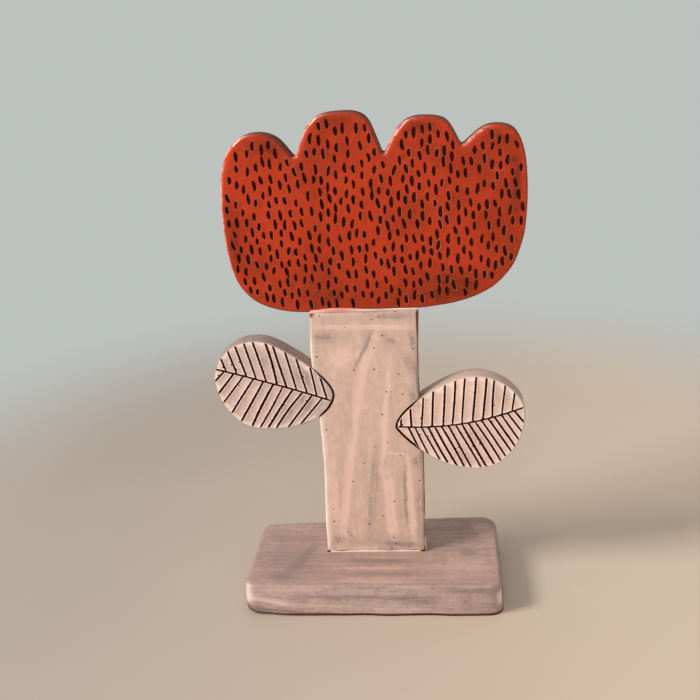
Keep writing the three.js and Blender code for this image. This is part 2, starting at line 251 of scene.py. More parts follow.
def brushed(places: Array, strokes: tuple, unsteady: float = 1.0) -> Array:
    """Sum of brush strokes: a broad bell across each bowed line, weaker at its ends, with bristle lines.

    Args:
        places: Points, shape (count, 2).
        strokes: Rows of (start across, start up, end across, end up, half width, strength), and where
            the stroke is bowed, its bow to the right of its heading.
        unsteady: How much the strokes sway, as a share of the usual.

    Returns:
        Tone at each point, above 0 where the glaze lies thick and below 0 where it is thin.
    """
    rows = np.array([(*row, 0.0)[:7] for row in strokes], dtype=float)
    start, step = rows[:, :2], rows[:, 2:4] - rows[:, :2]
    length = np.linalg.norm(step, axis=1)
    sway = [Ripple(seed, 17.0, 0.5).at(places) + Ripple(seed + 1, 5.0, 0.3).at(places) for seed in (71, 73)]
    away = (places + unsteady * np.column_stack(sway))[:, None] - start
    share = (away * step).sum(axis=-1) / length**2
    across = (away[..., 0] * step[:, 1] - away[..., 1] * step[:, 0]) / length
    across -= rows[:, 6] * 4 * (share * (1 - share)).clip(0.0)
    beyond = (np.abs(share - 0.5) - 0.5).clip(0.0) * length
    ends = (2.5 - 5.0 * np.abs(share - 0.5)).clip(0.35, 1.0)
    bristle = 1.0 + Ripple(75, 2.0, 0.3).at((across + 40.0 * np.arange(len(rows)))[..., None])
    band = np.exp(-(np.abs(across / rows[:, 4]) ** 2.8) - (beyond / rows[:, 4]) ** 2)
    return (rows[:, 5] * ends * bristle * band).sum(axis=1)


@dataclass
class Cuts:
    """Tool cuts in a clay face, each with a centre line, a half width along it and a depth.

    A cut is a set of nested rings, from the foot of the raised burr, over its crest, down the wall to
    the floor. Each row of the section is (share of half width, added width, share of depth, raise,
    carved paint, burr paint).
    """

    path: Array
    half: Array
    depth: Array
    lean: float = 0.0
    crossing: bool = False
    merge: float = 0.11
    lips: Array | tuple = (1.0, 1.0)
    # Carved paint of the left and the right wall; the wall with more is painted darker, as painted shade.
    walls: tuple = (1.0, 1.0)
    section: tuple = (
        (1.0, 0.50, 0.0, 0.00, 0.0, 0.0),
        (1.0, 0.20, 0.0, 0.14, 0.0, 1.0),
        (1.0, 0.03, 0.1, 0.02, 0.4, 0.6),
        (0.84, 0.0, 0.55, 0.00, 1.0, 0.0),
        (0.45, 0.0, 1.0, 0.00, 0.95, 0.0),
    )

    def rings(self) -> Array:
        """Rings of every cut: both sides of the centre line moved out by the ring's width, and round ends.

        Returns:
            Points of shape (cuts, rings, points in a ring, 2).
        """
        share, added = np.array(self.section)[:, :2].T
        along = np.gradient(self.path, axis=1)
        along /= np.linalg.norm(along, axis=-1, keepdims=True)
        left = np.stack([-along[..., 1], along[..., 0]], axis=-1)
        half = self.half[:, None] * share[None, :, None] + added[None, :, None]
        sway = (left * self.lean * self.half[..., None])[:, None] * (1.0 - share)[None, :, None, None]
        middle = self.path[:, None] + sway
        right_side = middle - left[:, None] * half[..., None]
        left_side = (middle + left[:, None] * half[..., None])[:, :, ::-1]
        end = self.round_end(middle[:, :, -1], along[:, -1], left[:, -1], half[:, :, -1])
        start = self.round_end(middle[:, :, 0], -along[:, 0], -left[:, 0], half[:, :, 0])
        return np.concatenate([right_side, end, left_side, start], axis=2)

    @staticmethod
    def round_end(middle: Array, along: Array, left: Array, half: Array) -> Array:
        """Half circle of three points round one end of each ring.

        Args:
            middle: Centre of the end, shape (cuts, rings, 2).
            along: Direction out of the end, shape (cuts, 2).
            left: Direction to the left of it, shape (cuts, 2).
            half: Radius of the end, shape (cuts, rings).

        Returns:
            Points of shape (cuts, rings, 3, 2).
        """
        turn = np.radians([-45.0, 0.0, 45.0])
        reach = along[:, None] * np.cos(turn)[:, None] + left[:, None] * np.sin(turn)[:, None]
        return middle[:, :, None] + reach[:, None] * half[:, :, None, None]

    def cloud(self) -> Array:
        """Points of the cuts with their relief.

        Returns:
            Rows of (across, up, depth, carved, burr).
        """
        rings = self.rings()
        if self.crossing:
            flat = np.unique((rings.reshape(-1, 2) / self.merge).round(), axis=0) * self.merge
            return np.column_stack([flat, self.relief(flat)])
        share, raised, carved, burr = np.array(self.section)[:, 2:].T[:, :, None]
        lip, wall = self.two_sides(self.lips), self.two_sides(self.walls)
        depth = self.depth[:, None, None] * share - raised * lip
        paint = np.stack(np.broadcast_arrays(depth, carved * wall, burr * lip), axis=-1)
        return np.concatenate([rings, paint], axis=-1).reshape(-1, 5)

    def two_sides(self, values: Array | tuple) -> Array:
        """Values for the two sides of the cuts spread over the points of a ring, the ends between them.

        Args:
            values: One pair, or one pair for each cut.

        Returns:
            Values of shape (cuts, 1, points in a ring).
        """
        pairs = np.broadcast_to(values, (len(self.path), 2))
        first, second = np.repeat(pairs[:, :, None], self.path.shape[1], axis=2).swapaxes(0, 1)
        ends = np.repeat(pairs.mean(axis=1, keepdims=True), 3, axis=1)
        return np.concatenate([first, ends, second, ends], axis=1)[:, None]

    def relief(self, flat: Array) -> Array:
        """Relief of cuts that cross: the section read at the distance to the nearest centre line.

        Args:
            flat: Places on the face, shape (count, 2).

        Returns:
            Rows of (depth, carved, burr).
        """
        start, step = self.path[:, :-1].reshape(-1, 2), np.diff(self.path, axis=1).reshape(-1, 2)
        away = flat[:, None] - start
        share = clamp((away * step).sum(-1) / (step**2).sum(-1))
        distance = np.linalg.norm(away - share[..., None] * step, axis=-1)
        half = self.half[:, :-1].reshape(-1)
        edge = (distance - half).min(axis=1)
        width, depth = self.half.mean(), self.depth.mean()
        rows = np.array(self.section)[::-1]
        at = (rows[:, 0] - 1.0) * width + rows[:, 1]
        columns = (rows[:, 2] * depth - rows[:, 3], rows[:, 4], rows[:, 5])
        return np.column_stack([np.interp(edge, at, column) for column in columns])


@dataclass
class Shell:
    """Points and faces of one closed surface, with the paint that its finish reads.

    A point is (across, up, depth), and its paint is (carved, burr, rim).
    """

    points: list = field(default_factory=list)
    paint: list = field(default_factory=list)
    faces: list = field(default_factory=list)
    size: int = 0

    def add(self, points: Array, paint: Array) -> Array:
        """Adds points.

        Args:
            points: Array of shape (..., 3).
            paint: Array of the same shape.

        Returns:
            The points' numbers, shape (...).
        """
        count = int(np.prod(points.shape[:-1]))
        number = self.size + np.arange(count).reshape(points.shape[:-1])
        self.size += count
        self.points.append(points.reshape(-1, 3))
        self.paint.append(np.broadcast_to(paint, points.shape).reshape(-1, 3))
        return number

    def strip(self, near: Array, far: Array) -> None:
        """Adds the faces between closed rings: each point, its partner and their next neighbours."""
        quads = [near, far, np.roll(far, -1, axis=-1), np.roll(near, -1, axis=-1)]
        self.faces.append(np.stack(quads, axis=-1).reshape(-1, 4))


class Facing(Enum):
    """How a slab lies: on edge with its face to the front, or flat with its face up."""

    UPRIGHT = "upright"
    FLAT = "flat"


@dataclass
class ClaySlab:
    """A slab of clay: an outline, a thickness, a softened rim and two faces with tool cuts."""

    name: str
    outline: Array
    thickness: float
    origin: tuple
    front_round: Array
    back_round: Array
    front_cuts: list = field(default_factory=list)
    back_cuts: list = field(default_factory=list)
    facing: Facing = Facing.UPRIGHT
    front_swell: Ripple = Ripple(11, 46.0, 0.16)
    back_swell: Ripple = Ripple(12, 46.0, 0.16)
    side_ripple: Ripple = Ripple(13, 9.0, 0.07)
    arc_steps: int = 6
    side_steps: int = 5
    grid_step: float = 2.4
    row_share: float = 0.866
    grid_clear: float = 0.42
    rim_clear: float = 0.22
    rim_fade: float = 1.4
    belly: float = 0.0
    flare: float = 0.0

    def build(self) -> Piece:
        """Builds the slab's mesh.

        Returns:
            The slab as an object at the origin, with its paint as attributes.
        """
        shell = Shell()
        inset, depth, rim = self.rim_profile()
        flat = self.outline - outward(self.outline) * inset[..., None]
        paint = np.stack([np.zeros_like(rim), np.zeros_like(rim), rim], axis=-1)
        rings = shell.add(np.dstack([flat, depth]), paint)
        shell.strip(rings[:-1], rings[1:])
        self.fill_face(shell, rings[0], flat[0], self.front_cuts, front=True)
        self.fill_face(shell, rings[-1], flat[-1], self.back_cuts, front=False)
        points = self.place(np.concatenate(shell.points))
        return make_piece(self.name, points, shell.faces, np.concatenate(shell.paint))

    def rim_profile(self) -> tuple[Array, Array, Array]:
        """Rim carried along the outline: a quarter circle, the side and a second quarter circle.

        Returns:
            How far each point lies inside the outline, its depth and its rim paint, each of shape
            (rings, outline points).
        """
        turn = np.linspace(0.0, np.pi / 2, self.arc_steps + 1)[:, None]
        side = np.linspace(0.0, 1.0, self.side_steps + 2)[1:-1, None]
        front, back = self.front_round[None], self.back_round[None]
        straight_side = front + side * (self.thickness - front - back)
        inwards, down = 1 - np.sin(turn), 1 - np.cos(turn)
        inset = np.concatenate([front * inwards, np.zeros_like(straight_side), back * inwards[::-1]])
        depth = np.concatenate([front * down, straight_side, self.thickness - back * down[::-1]])
        rim = bell(inset, self.rim_fade)
        around = np.broadcast_to(self.outline, (*depth.shape, 2))
        wave = self.side_ripple.at(np.dstack([around, depth]))
        share = depth / self.thickness
        bulge = self.belly * np.sin(np.pi * share) + self.flare * share**3
        return inset - (wave + bulge) * rim, depth, rim

    def spread(self, around: Array, count: int) -> Array:
        """Values round the outline repeated on every ring of the rim, and 0 on the two faces.

        Args:
            around: One value for each point of the outline.
            count: Number of points of the whole slab.

        Returns:
            One value for each point of the slab.
        """
        on_rim = np.tile(around, 2 * (self.arc_steps + 1) + self.side_steps)
        return np.concatenate([on_rim, np.zeros(count - len(on_rim))])

    def fill_face(
        self, shell: Shell, rim: Array, rim_flat: Array, cuts: list, front: bool
    ) -> None:
        """Fills one face with triangles through its cuts and an even grid.

        Args:
            shell: Surface that takes the face.
            rim: Numbers of the face's border points.
            rim_flat: Their places on the face.
            cuts: Tool cuts in the face.
            front: Whether this is the front face.
        """
        clouds = [cut.cloud() for cut in cuts]
        carved = np.concatenate(clouds) if clouds else np.zeros((0, 5))
        carved = carved[inside(carved[:, :2], rim_flat)]
        carved = carved[nearest(carved[:, :2], rim_flat) > self.rim_clear]
        grid = self.even_grid(rim_flat)
        taken = np.concatenate([rim_flat, carved[:, :2]])
        grid = grid[nearest(grid, taken) > self.grid_clear * self.grid_step]
        flat = np.concatenate([carved[:, :2], grid])
        relief = np.concatenate([carved[:, 2:], np.zeros((len(grid), 3))])
        depth = relief[:, 0] if front else self.thickness - relief[:, 0]
        fade = bell(nearest(flat, self.outline), self.rim_fade)
        inner = shell.add(np.column_stack([flat, depth]), np.column_stack([relief[:, 1:], fade]))
        number = np.concatenate([rim, inner])
        border = list(range(len(rim)))
        filled = delaunay_2d_cdt(np.concatenate([rim_flat, flat]).tolist(), [], [border], 1, 1e-7, True)
        source = np.array([twins[0] for twins in filled[3]])
        within = np.array([len(owners) > 0 for owners in filled[5]])
        faces = number[source[np.array(filled[2])[within]]]
        shell.faces.append(faces if front else faces[:, ::-1])

    def even_grid(self, border: Array) -> Array:
        """Staggered rows of points inside a border.

        Args:
            border: Border of the face.

        Returns:
            The points, shape (count, 2).
        """
        low, high = border.min(axis=0), border.max(axis=0)
        across = np.arange(low[0], high[0], self.grid_step)
        up = np.arange(low[1], high[1], self.grid_step * self.row_share)
        grid = np.stack(np.meshgrid(across, up), axis=-1)
        grid[1::2, :, 0] += self.grid_step / 2
        grid = grid.reshape(-1, 2)
        return grid[inside(grid, border)]

    def place(self, points: Array) -> Array:
        """Moves slab points into the frame, with each face's gentle swell fading through the thickness.

        Args:
            points: Rows of (across, up, depth).

        Returns:
            Rows of (x, y, z) in millimetres.
        """
        share = clamp(points[:, 2] / self.thickness)
        across, up = points[:, 0] + self.origin[0], points[:, 1]
        where = np.column_stack([across, up])
        swell = self.front_swell.at(where) * (1 - share) + self.back_swell.at(where) * share
        depth = points[:, 2] + swell
        if self.facing is Facing.FLAT:
            return np.column_stack([across, up + self.origin[1], self.origin[2] - depth])
        return np.column_stack([across, depth + self.origin[1], up + self.origin[2]])


def make_piece(name: str, points: Array, faces: list, paint: Array) -> Piece:
    """Puts a surface into a mesh, shades it and links it to the scene.

    Args:
        name: Name of the piece.
        points: Rows of (x, y, z) in millimetres.
        faces: Arrays of triangles and quads.
        paint: Rows of (carved, burr, rim).

    Returns:
        The new object, at the origin.
    """
    mesh = bpy.data.meshes.new(name)
    mesh.from_pydata((points * MM).tolist(), [], [row for block in faces for row in block.tolist()])
    for column, title in enumerate(("carved", "burr", "rim")):
        mesh.attributes.new(title, "FLOAT", "POINT").data.foreach_set("value", paint[:, column].astype("f"))
    piece = bpy.data.objects.new(name, mesh)
    bpy.context.scene.collection.objects.link(piece)
    shade(piece)
    return piece


def shade(piece: Piece) -> None:
    """Shades a piece smooth, with its steep edges kept sharp."""
    piece.data.shade_smooth()
    piece.data.set_sharp_from_angle(angle=np.radians(SHARP_ANGLE))


def points_of(piece: Piece) -> Array:
    """Places of a piece's vertices in millimetres, as rows of (x, y, z).

    Args:
        piece: The piece.

    Returns:
        The places, shape (vertices, 3).
    """
    values = np.empty(len(piece.data.vertices) * 3, dtype="f")
    piece.data.vertices.foreach_get("co", values)
    return values.reshape(-1, 3) / MM


def paint_of(piece: Piece, title: str) -> Array:
    """Values of a paint attribute on a piece's vertices.

    Args:
        piece: The piece.
        title: Name of the attribute.

    Returns:
        One value for each vertex.
    """
    values = np.empty(len(piece.data.vertices), dtype="f")
    piece.data.attributes[title].data.foreach_get("value", values)
    return values


def set_paint(piece: Piece, title: str, values: Array) -> None:
    """Writes a paint attribute, and makes it where the piece has none."""
    attribute = piece.data.attributes.get(title) or piece.data.attributes.new(title, "FLOAT", "POINT")
    attribute.data.foreach_set("value", values.astype("f"))


def darken(piece: Piece, share: Array) -> None:
    """Raises a piece's carved paint to a share at least."""
    set_paint(piece, "carved", np.maximum(paint_of(piece, "carved"), share))


def cut_away(piece: Piece, cutter: Piece) -> None:
    """Cuts a closed shape out of a piece and removes the cutter.

    Args:
        piece: Piece that is cut.
        cutter: Closed shape to take away.
    """
    boolean = piece.modifiers.new("cut", "BOOLEAN")
    boolean.operation = "DIFFERENCE"
    boolean.solver = "EXACT"
    boolean.object = cutter
    graph = bpy.context.evaluated_depsgraph_get()
    mesh = bpy.data.meshes.new_from_object(piece.evaluated_get(graph))
    piece.modifiers.clear()
    old, name = piece.data, piece.data.name
    piece.data = mesh
    bpy.data.meshes.remove(old)
    mesh.name = name
    bpy.data.objects.remove(cutter)
    shade(piece)


class Signal:
    """A shader socket that works in Python expressions: each operator adds a Math node."""

    def __init__(self, board: "NodeBoard", socket: bpy.types.NodeSocket) -> None:
        """Wraps one output socket of a board."""
        self.board = board
        self.socket = socket

    def __add__(self, other: "Signal | float") -> "Signal":
        """Sum."""
        return self.board.math("ADD", self, other)

    def __sub__(self, other: "Signal | float") -> "Signal":
        """Difference."""
        return self.board.math("SUBTRACT", self, other)

    def __rsub__(self, other: float) -> "Signal":
        """Difference from a number."""
        return self.board.math("SUBTRACT", other, self)

    def __mul__(self, other: "Signal | float") -> "Signal":
        """Product."""
        return self.board.math("MULTIPLY", self, other)

    __radd__ = __add__
    __rmul__ = __mul__


class NodeBoard:
    """The nodes and links of one node tree."""

    def __init__(self, tree: bpy.types.NodeTree) -> None:
        """Empties the tree."""
        self.nodes, self.links = tree.nodes, tree.links
        self.nodes.clear()

    def node(self, kind: str, settings: dict | None = None, sockets: dict | None = None) -> bpy.types.Node:
        """Adds a node.

        Args:
            kind: Type of the node.
            settings: Properties, set first.
            sockets: Values or signals for the inputs, by name or number.

        Returns:
            The new node.
        """
        made = self.nodes.new(kind)
        for title, value in (settings or {}).items():
            setattr(made, title, value)
        for title, value in (sockets or {}).items():
            self.feed(made.inputs[title], value)
        return made

    def feed(self, socket: bpy.types.NodeSocket, value: object) -> None:
        """Links a signal to a socket, or sets the socket's own value.

        Args:
            socket: Input socket.
            value: Signal or plain value.
        """
        if isinstance(value, Signal):
            self.links.new(value.socket, socket)
        else:
            socket.default_value = value

    def math(self, operation: str, first: "Signal | float", second: "Signal | float") -> Signal:
        """Adds a Math node."""
        return self.signal("ShaderNodeMath", 0, {"operation": operation}, {0: first, 1: second})

    def signal(
        self, kind: str, output: int | str, settings: dict | None = None, sockets: dict | None = None
    ) -> Signal:
        """Adds a node and takes one of its outputs."""
        return Signal(self, self.node(kind, settings, sockets).outputs[output])


class ShaderBoard(NodeBoard):
    """One material's nodes, with a Principled shader that the finish feeds."""

    def __init__(self, name: str) -> None:
        """Starts an empty material.

        Args:
            name: Name of the material.
        """
        self.material = bpy.data.materials.new(name)
        self.material.use_nodes = True
        super().__init__(self.material.node_tree)
        self.shader = self.node("ShaderNodeBsdfPrincipled")
        output = self.node("ShaderNodeOutputMaterial")
        self.links.new(self.shader.outputs[0], output.inputs["Surface"])
        self.place = self.signal("ShaderNodeTexCoord", "Object")

    def smooth(self, value: Signal, low: float, high: float) -> Signal:
        """Smooth step from 0 at low to 1 at high, which may be the lower number."""
        limits = {"Value": value, "From Min": low, "From Max": high}
        return self.signal("ShaderNodeMapRange", "Result", {"interpolation_type": "SMOOTHSTEP"}, limits)

    def blend(self, share: "Signal | float", first: "Signal | Colour", second: "Signal | Colour") -> Signal:
        """Mix of two colours."""
        return self.signal("ShaderNodeMix", 2, {"data_type": "RGBA"}, {0: share, 6: first, 7: second})

    def coats(self, colour: Signal, *layers: tuple) -> Signal:
        """Lays (share, colour) pairs over a colour, the last on top.

        Args:
            colour: Ground colour.
            layers: The pairs.

        Returns:
            The colour seen.
        """
        for share, coat in layers:
            colour = self.blend(share, colour, coat)
        return colour

    def paint(self, title: str) -> Signal:
        """The piece's own paint attribute."""
        return self.signal("ShaderNodeAttribute", "Fac", {"attribute_name": title})

    def axis(self, name: str) -> Signal:
        """One coordinate of the place, in millimetres."""
        return self.signal("ShaderNodeSeparateXYZ", name, None, {0: self.place}) * (1 / MM)

    def stretched(self, size: tuple, shift: float) -> Signal:
        """Places in units of a grain's size along x, y and z in millimetres, moved by a shift."""
        move = {"Scale": [1 / (MM * each) for each in size], "Location": (shift,) * 3}
        return self.signal("ShaderNodeMapping", 0, None, {"Vector": self.place, **move})

    def noise(self, size: tuple, shift: float, detail: float = 3.0, warp: float = 0.0) -> Signal:
        """Cloudy grain from 0 to 1, about one half on average, of a size along x, y and z."""
        grain = {"Vector": self.stretched(size, shift), "Detail": detail, "Distortion": warp}
        return self.signal("ShaderNodeTexNoise", "Fac", None, {**grain, "Scale": 1.0, "Roughness": 0.55})

    def specks(self, spacing: float, radius: float, share: float, shift: float) -> Signal:
        """Round specks, one at most in each cell of a Voronoi pattern.

        Args:
            spacing: Size of a cell in millimetres.
            radius: Radius of a speck in millimetres.
            share: Share of the cells that hold one.
            shift: Move of the pattern.

        Returns:
            1 inside a speck and 0 outside.
        """
        pattern = {"Vector": self.stretched((spacing,) * 3, shift), "Scale": 1.0}
        cells = self.node("ShaderNodeTexVoronoi", None, pattern)
        lot = self.signal("ShaderNodeSeparateColor", 0, None, {0: Signal(self, cells.outputs["Color"])})
        size = radius / spacing
        dot = self.smooth(Signal(self, cells.outputs["Distance"]), size, size * 0.55)
        return dot * self.math("LESS_THAN", lot, share)

    def finish(self, colour: Signal, roughness: Signal, height: Signal, depth: float) -> Material:
        """Feeds the shader.

        Args:
            colour: Base colour.
            roughness: Roughness.
            height: Height of the fine relief from 0 to 1.
            depth: Height in millimetres that 1 stands for.

        Returns:
            The finished material.
        """
        relief = {"Height": height, "Distance": depth * MM, "Strength": 1.0}
        self.feed(self.shader.inputs["Base Color"], colour)
        self.feed(self.shader.inputs["Roughness"], roughness)
        self.feed(self.shader.inputs["Normal"], self.signal("ShaderNodeBump", 0, None, relief))
        return self.material


@dataclass(frozen=True)
class RedGlaze:
    """Glossy orange-red glaze over carved clay: browner where it is thin, near black in the cuts, partly as
    painted shade.
    """

    name: str = "red_glaze"
    bright: Colour = srgb(193, 62, 30)
    deep: Colour = srgb(169, 56, 27)
    brown: Colour = srgb(101, 43, 22)
    # Pale pink of the burr crests and of the painted highlight on the rim that faces the lamp.
    lip: Colour = srgb(244, 166, 144)
    cut: Colour = srgb(92, 38, 22)
    # Near black of the specks, and of the painted shade deep in the cuts and on their darker wall.
    speck_and_cut_shade: Colour = srgb(29, 1, 1)
    gloss: float = 0.22
    patch_size: tuple = (22.0, 22.0, 22.0)
    mottle_size: tuple = (2.6, 2.6, 3.4)
    grain_size: tuple = (0.7, 0.7, 0.7)
    specular: float = 0.1
    coat_rough: float = 0.1
    relief: float = 0.4

    def material(self) -> Material:
        """Makes the finish from thick and thin glaze, a painted highlight and painted shade on the rim, fine
        specks and dark cuts.

        Returns:
            The material.
        """
        board = ShaderBoard(self.name)
        patch = board.noise(self.patch_size, shift=3.1, detail=3.0, warp=0.4)
        mottle = board.noise(self.mottle_size, shift=7.7, detail=2.0)
        grain = board.noise(self.grain_size, shift=1.3, detail=1.0)
        carved, burr, rim = board.paint("carved"), board.paint("burr"), board.paint("rim")
        shine = board.paint("shine")
        thick = board.paint("tone") * 0.5 + patch * 0.7 + mottle * 0.3 - 0.5
        # The rim turned away from the lamp: rougher, and painted brown, partly thin glaze and partly painted
        # shade.
        dull_shaded_rim = rim * (1.0 - shine)
        broken = board.smooth(mottle, 0.36, 0.6)
        # Painted highlight: the rim that faces the lamp, broken into patches, turns pale pink.
        worn = board.smooth(rim * shine, 0.4, 0.9) * (0.1 + 0.8 * broken)
        specks = board.specks(spacing=5.0, radius=0.42, share=0.25, shift=4.4)
        colour = board.coats(
            board.blend(board.smooth(thick, -0.14, 0.14), self.deep, self.bright),
            (board.smooth(thick, -0.12, -0.42) * 0.75, self.brown),
            (board.smooth(dull_shaded_rim, 0.45, 0.95) * 0.9, self.brown),
            (worn, self.lip),
            (specks * 0.7, self.speck_and_cut_shade),
            # Burr crests painted paler: thin glaze over the crest, and a painted highlight.
            (burr * 0.24, self.lip),
            # Dark clay in the cuts; the deepest parts and the more carved wall go near black as painted
            # shade.
            (board.smooth(carved, 0.05, 0.6), self.cut),
            (board.smooth(carved, 0.66, 0.92), self.speck_and_cut_shade),
        )
        rough = self.gloss + 0.16 * mottle + 0.5 * carved + 0.4 * dull_shaded_rim
        board.shader.inputs["Specular IOR Level"].default_value = self.specular
        board.shader.inputs["Coat Roughness"].default_value = self.coat_rough
        board.feed(board.shader.inputs["Coat Weight"], shine * (0.3 + 0.7 * broken) + burr * 0.35)
        return board.finish(colour, rough, patch * 0.5 + mottle * 0.35 + grain * 0.15, self.relief)


class Stroke(Enum):
    """Direction of the brush strokes: grain size along x, y and z as shares of the stroke's width."""

    UP = (1.0, 1.0, 11.0)
    ACROSS = (22.0, 1.0, 1.0)


@dataclass(frozen=True)
class PaleGlaze:
    """Satin pink-white glaze brushed over dark clay: thick pale strokes, thin grey ones, pinholes."""

    name: str
    pale: Colour = srgb(234, 195, 176)
    thin: Colour = srgb(209, 177, 160)
    smudge: Colour = srgb(158, 138, 129)
    # Near white of worn edges and burr crests, which also serves as their painted highlight.
    edge: Colour = srgb(254, 234, 220)
    # Greyer colour of the turned sides, partly painted shade.
    side: Colour = srgb(166, 143, 134)
    film: Colour = srgb(192, 169, 158)
    clay: Colour = srgb(140, 86, 60)
    stain: Colour = srgb(150, 84, 68)
    line: Colour = srgb(48, 4, 5)
    soot: Colour = srgb(50, 33, 27)
    drip: Colour = srgb(186, 60, 36)
    stroke: Stroke = Stroke.UP
    width: float = 8.0
    shift: float = 0.0
    smudged: float = 0.6
    specked: float = 0.45
    bristle_share: float = 0.16
    cloud_size: tuple = (13.0, 13.0, 13.0)
    mottle_size: tuple = (3.4, 3.4, 3.4)
    grain_size: tuple = (0.8, 0.8, 0.8)
    specular: float = 0.1
    relief: float = 0.22

    def material(self) -> Material:
        """Makes the finish from brush strokes, bristle lines, smudges, pinholes, bare clay and cuts, with
        painted highlight on edges and burrs and painted shade on the turned sides.

        Returns:
            The material.
        """
        board = ShaderBoard(self.name)
        broad = tuple(self.width * each for each in self.stroke.value)
        fine = tuple(each * self.bristle_share for each in broad)
        strokes = board.noise(broad, self.shift, detail=2.0, warp=0.2)
        bristle = board.noise(fine, self.shift + 5.0, detail=2.0)
        cloud = board.noise(self.cloud_size, self.shift + 9.0, detail=3.0, warp=0.3)
        mottle = board.noise(self.mottle_size, self.shift + 11.0, detail=3.0)
        grain = board.noise(self.grain_size, self.shift + 2.0, detail=2.0)
        carved, burr, rim = board.paint("carved"), board.paint("burr"), board.paint("rim")
        pin = board.specks(spacing=4.2, radius=0.3, share=self.specked, shift=self.shift)
        cover = board.paint("tone") + strokes * 0.6 + bristle * 0.4 + cloud * 0.3 - 0.65
        cover = cover + (mottle - 0.5) * 0.5 + (grain - 0.5) * 0.35
        grey = board.smooth(cover + grain * 0.8 - 0.4, -0.15, -0.65) * self.smudged
        milky = board.smooth(mottle * 0.3 + bristle * 0.4 + grain * 0.3, 0.32, 0.68) * 0.9
        # Turned sides take the greyer side colour: thinner glaze there, and painted shade.
        turned = board.smooth(rim, 0.72, 1.0) * (0.7 + 0.3 * board.smooth(bristle, 0.3, 0.7))
        # Pale edge colour along the softened rim: wear, and a painted highlight where the edge faces the
        # lamp.
        worn = rim * (1.0 - rim) * board.smooth(cloud + grain * 0.5, 0.4, 0.8) * 2.8
        bare = board.smooth(board.paint("bare") + (bristle + grain) * 0.35 - 0.35, 0.3, 0.62)
        colour = board.coats(
            board.blend(board.smooth(cover, -0.27, 0.45), self.thin, self.pale),
            (grey, self.smudge),
            (board.paint("film") * milky, self.film),
            (turned, self.side),
            (worn, self.edge),
            (board.paint("drip"), self.drip),
            (bare, board.blend(grain * 0.4, self.clay, self.soot)),
            (pin * 0.75, self.soot),
            # Burrs beside the cuts painted near white, partly a painted highlight; on the base front the burr
            # paint carries pale streaks.
            (burr, self.edge),
            (board.smooth(carved, 0.0, 0.4), self.stain),
            (board.smooth(carved, 0.15, 0.9), self.line),
        )
        rough = 0.46 + 0.22 * bristle + 0.4 * carved + 0.3 * bare
        board.shader.inputs["Specular IOR Level"].default_value = self.specular
        height = strokes * 0.3 + bristle * 0.25 + grain * 0.25 - pin * 0.6 + 0.4
        return board.finish(colour, rough, height, self.relief)


@dataclass(frozen=True)
class Terracotta:
    """Bare fired clay slip: brown-orange, grainy and matt."""

    name: str = "terracotta"
    light: Colour = srgb(190, 128, 96)
    dark: Colour = srgb(128, 76, 50)
    cloud_size: tuple = (9.0, 9.0, 9.0)
    grain_size: tuple = (0.8, 0.8, 0.8)
    relief: float = 0.25

    def material(self) -> Material:
        """Makes the finish from cloudy colour and a coarse grain.

        Returns:
            The material.
        """
        board = ShaderBoard(self.name)
        cloud = board.noise(self.cloud_size, shift=2.0, detail=3.0)
        grain = board.noise(self.grain_size, shift=6.0, detail=2.0)
        colour = board.blend(board.smooth(cloud * 0.6 + grain * 0.4, 0.35, 0.65), self.dark, self.light)
        return board.finish(colour, 0.7 + 0.2 * grain, grain, self.relief)


def dress(piece: Piece, material: Material, slot: str, *nodes: str) -> None:
    """Gives a piece its finish and ties it to the frame.

    Args:
        piece: Finished piece.
        material: Its finish.
        slot: Not used.
        nodes: CAD nodes that the piece stands for.
    """
    piece.data.materials.clear()
    piece.data.materials.append(material)
    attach(piece, BODY)
    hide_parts(*nodes)
    LOG.info("%s: %d faces", piece.name, len(piece.data.polygons))


@dataclass(frozen=True)
class Upright:
    """Where the upright slabs stand, read from the frame: all in millimetres."""

    centre: float
    front: float
    thickness: float
    half_width: float
    foot: float
    top: float
    seam: float

    @classmethod
    def from_frame(cls) -> "Upright":
        """Reads the stem's box and the underside of the flower head.

        Returns:
            The measures.
        """
        low, high = (np.array(corner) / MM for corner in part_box("stem_slab"))
        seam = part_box("flower_head")[0].z / MM
        centre, half = (low[0] + high[0]) / 2, (high[0] - low[0]) / 2
        return cls(centre, low[1], high[1] - low[1], half, low[2], high[2], seam)

    @property
    def origin(self) -> tuple:
        """Origin of the upright slabs: on the stem's centre line, at the front, at the seam."""
        return (self.centre, self.front, self.seam)


def pinholes(
    draw: np.random.Generator, places: Array, radius: tuple, depth: float, stretch: float = 0.4
) -> Cuts:
    """Small round pits left by burst bubbles in the glaze.

    Args:
        draw: Seeded source of random sizes.
        places: Centres, shape (count, 2).
        radius: Smallest and largest radius in millimetres.
        depth: Depth in millimetres.
        stretch: Length of a pit's centre line to each side, as a share of its radius.

    Returns:
        The pits as very short cuts without a burr.
    """
    size = draw.uniform(*radius, len(places))
    heading = draw.uniform(0.0, np.pi, len(places))
    reach = size[:, None] * np.column_stack([np.cos(heading), np.sin(heading)]) * stretch
    path = places[:, None] + reach[:, None] * np.array([-1.0, 0.0, 1.0])[None, :, None]
    half = np.repeat(size[:, None], 3, axis=1)
    return Cuts(path, half, np.full(len(places), depth), lips=(0.0, 0.0))


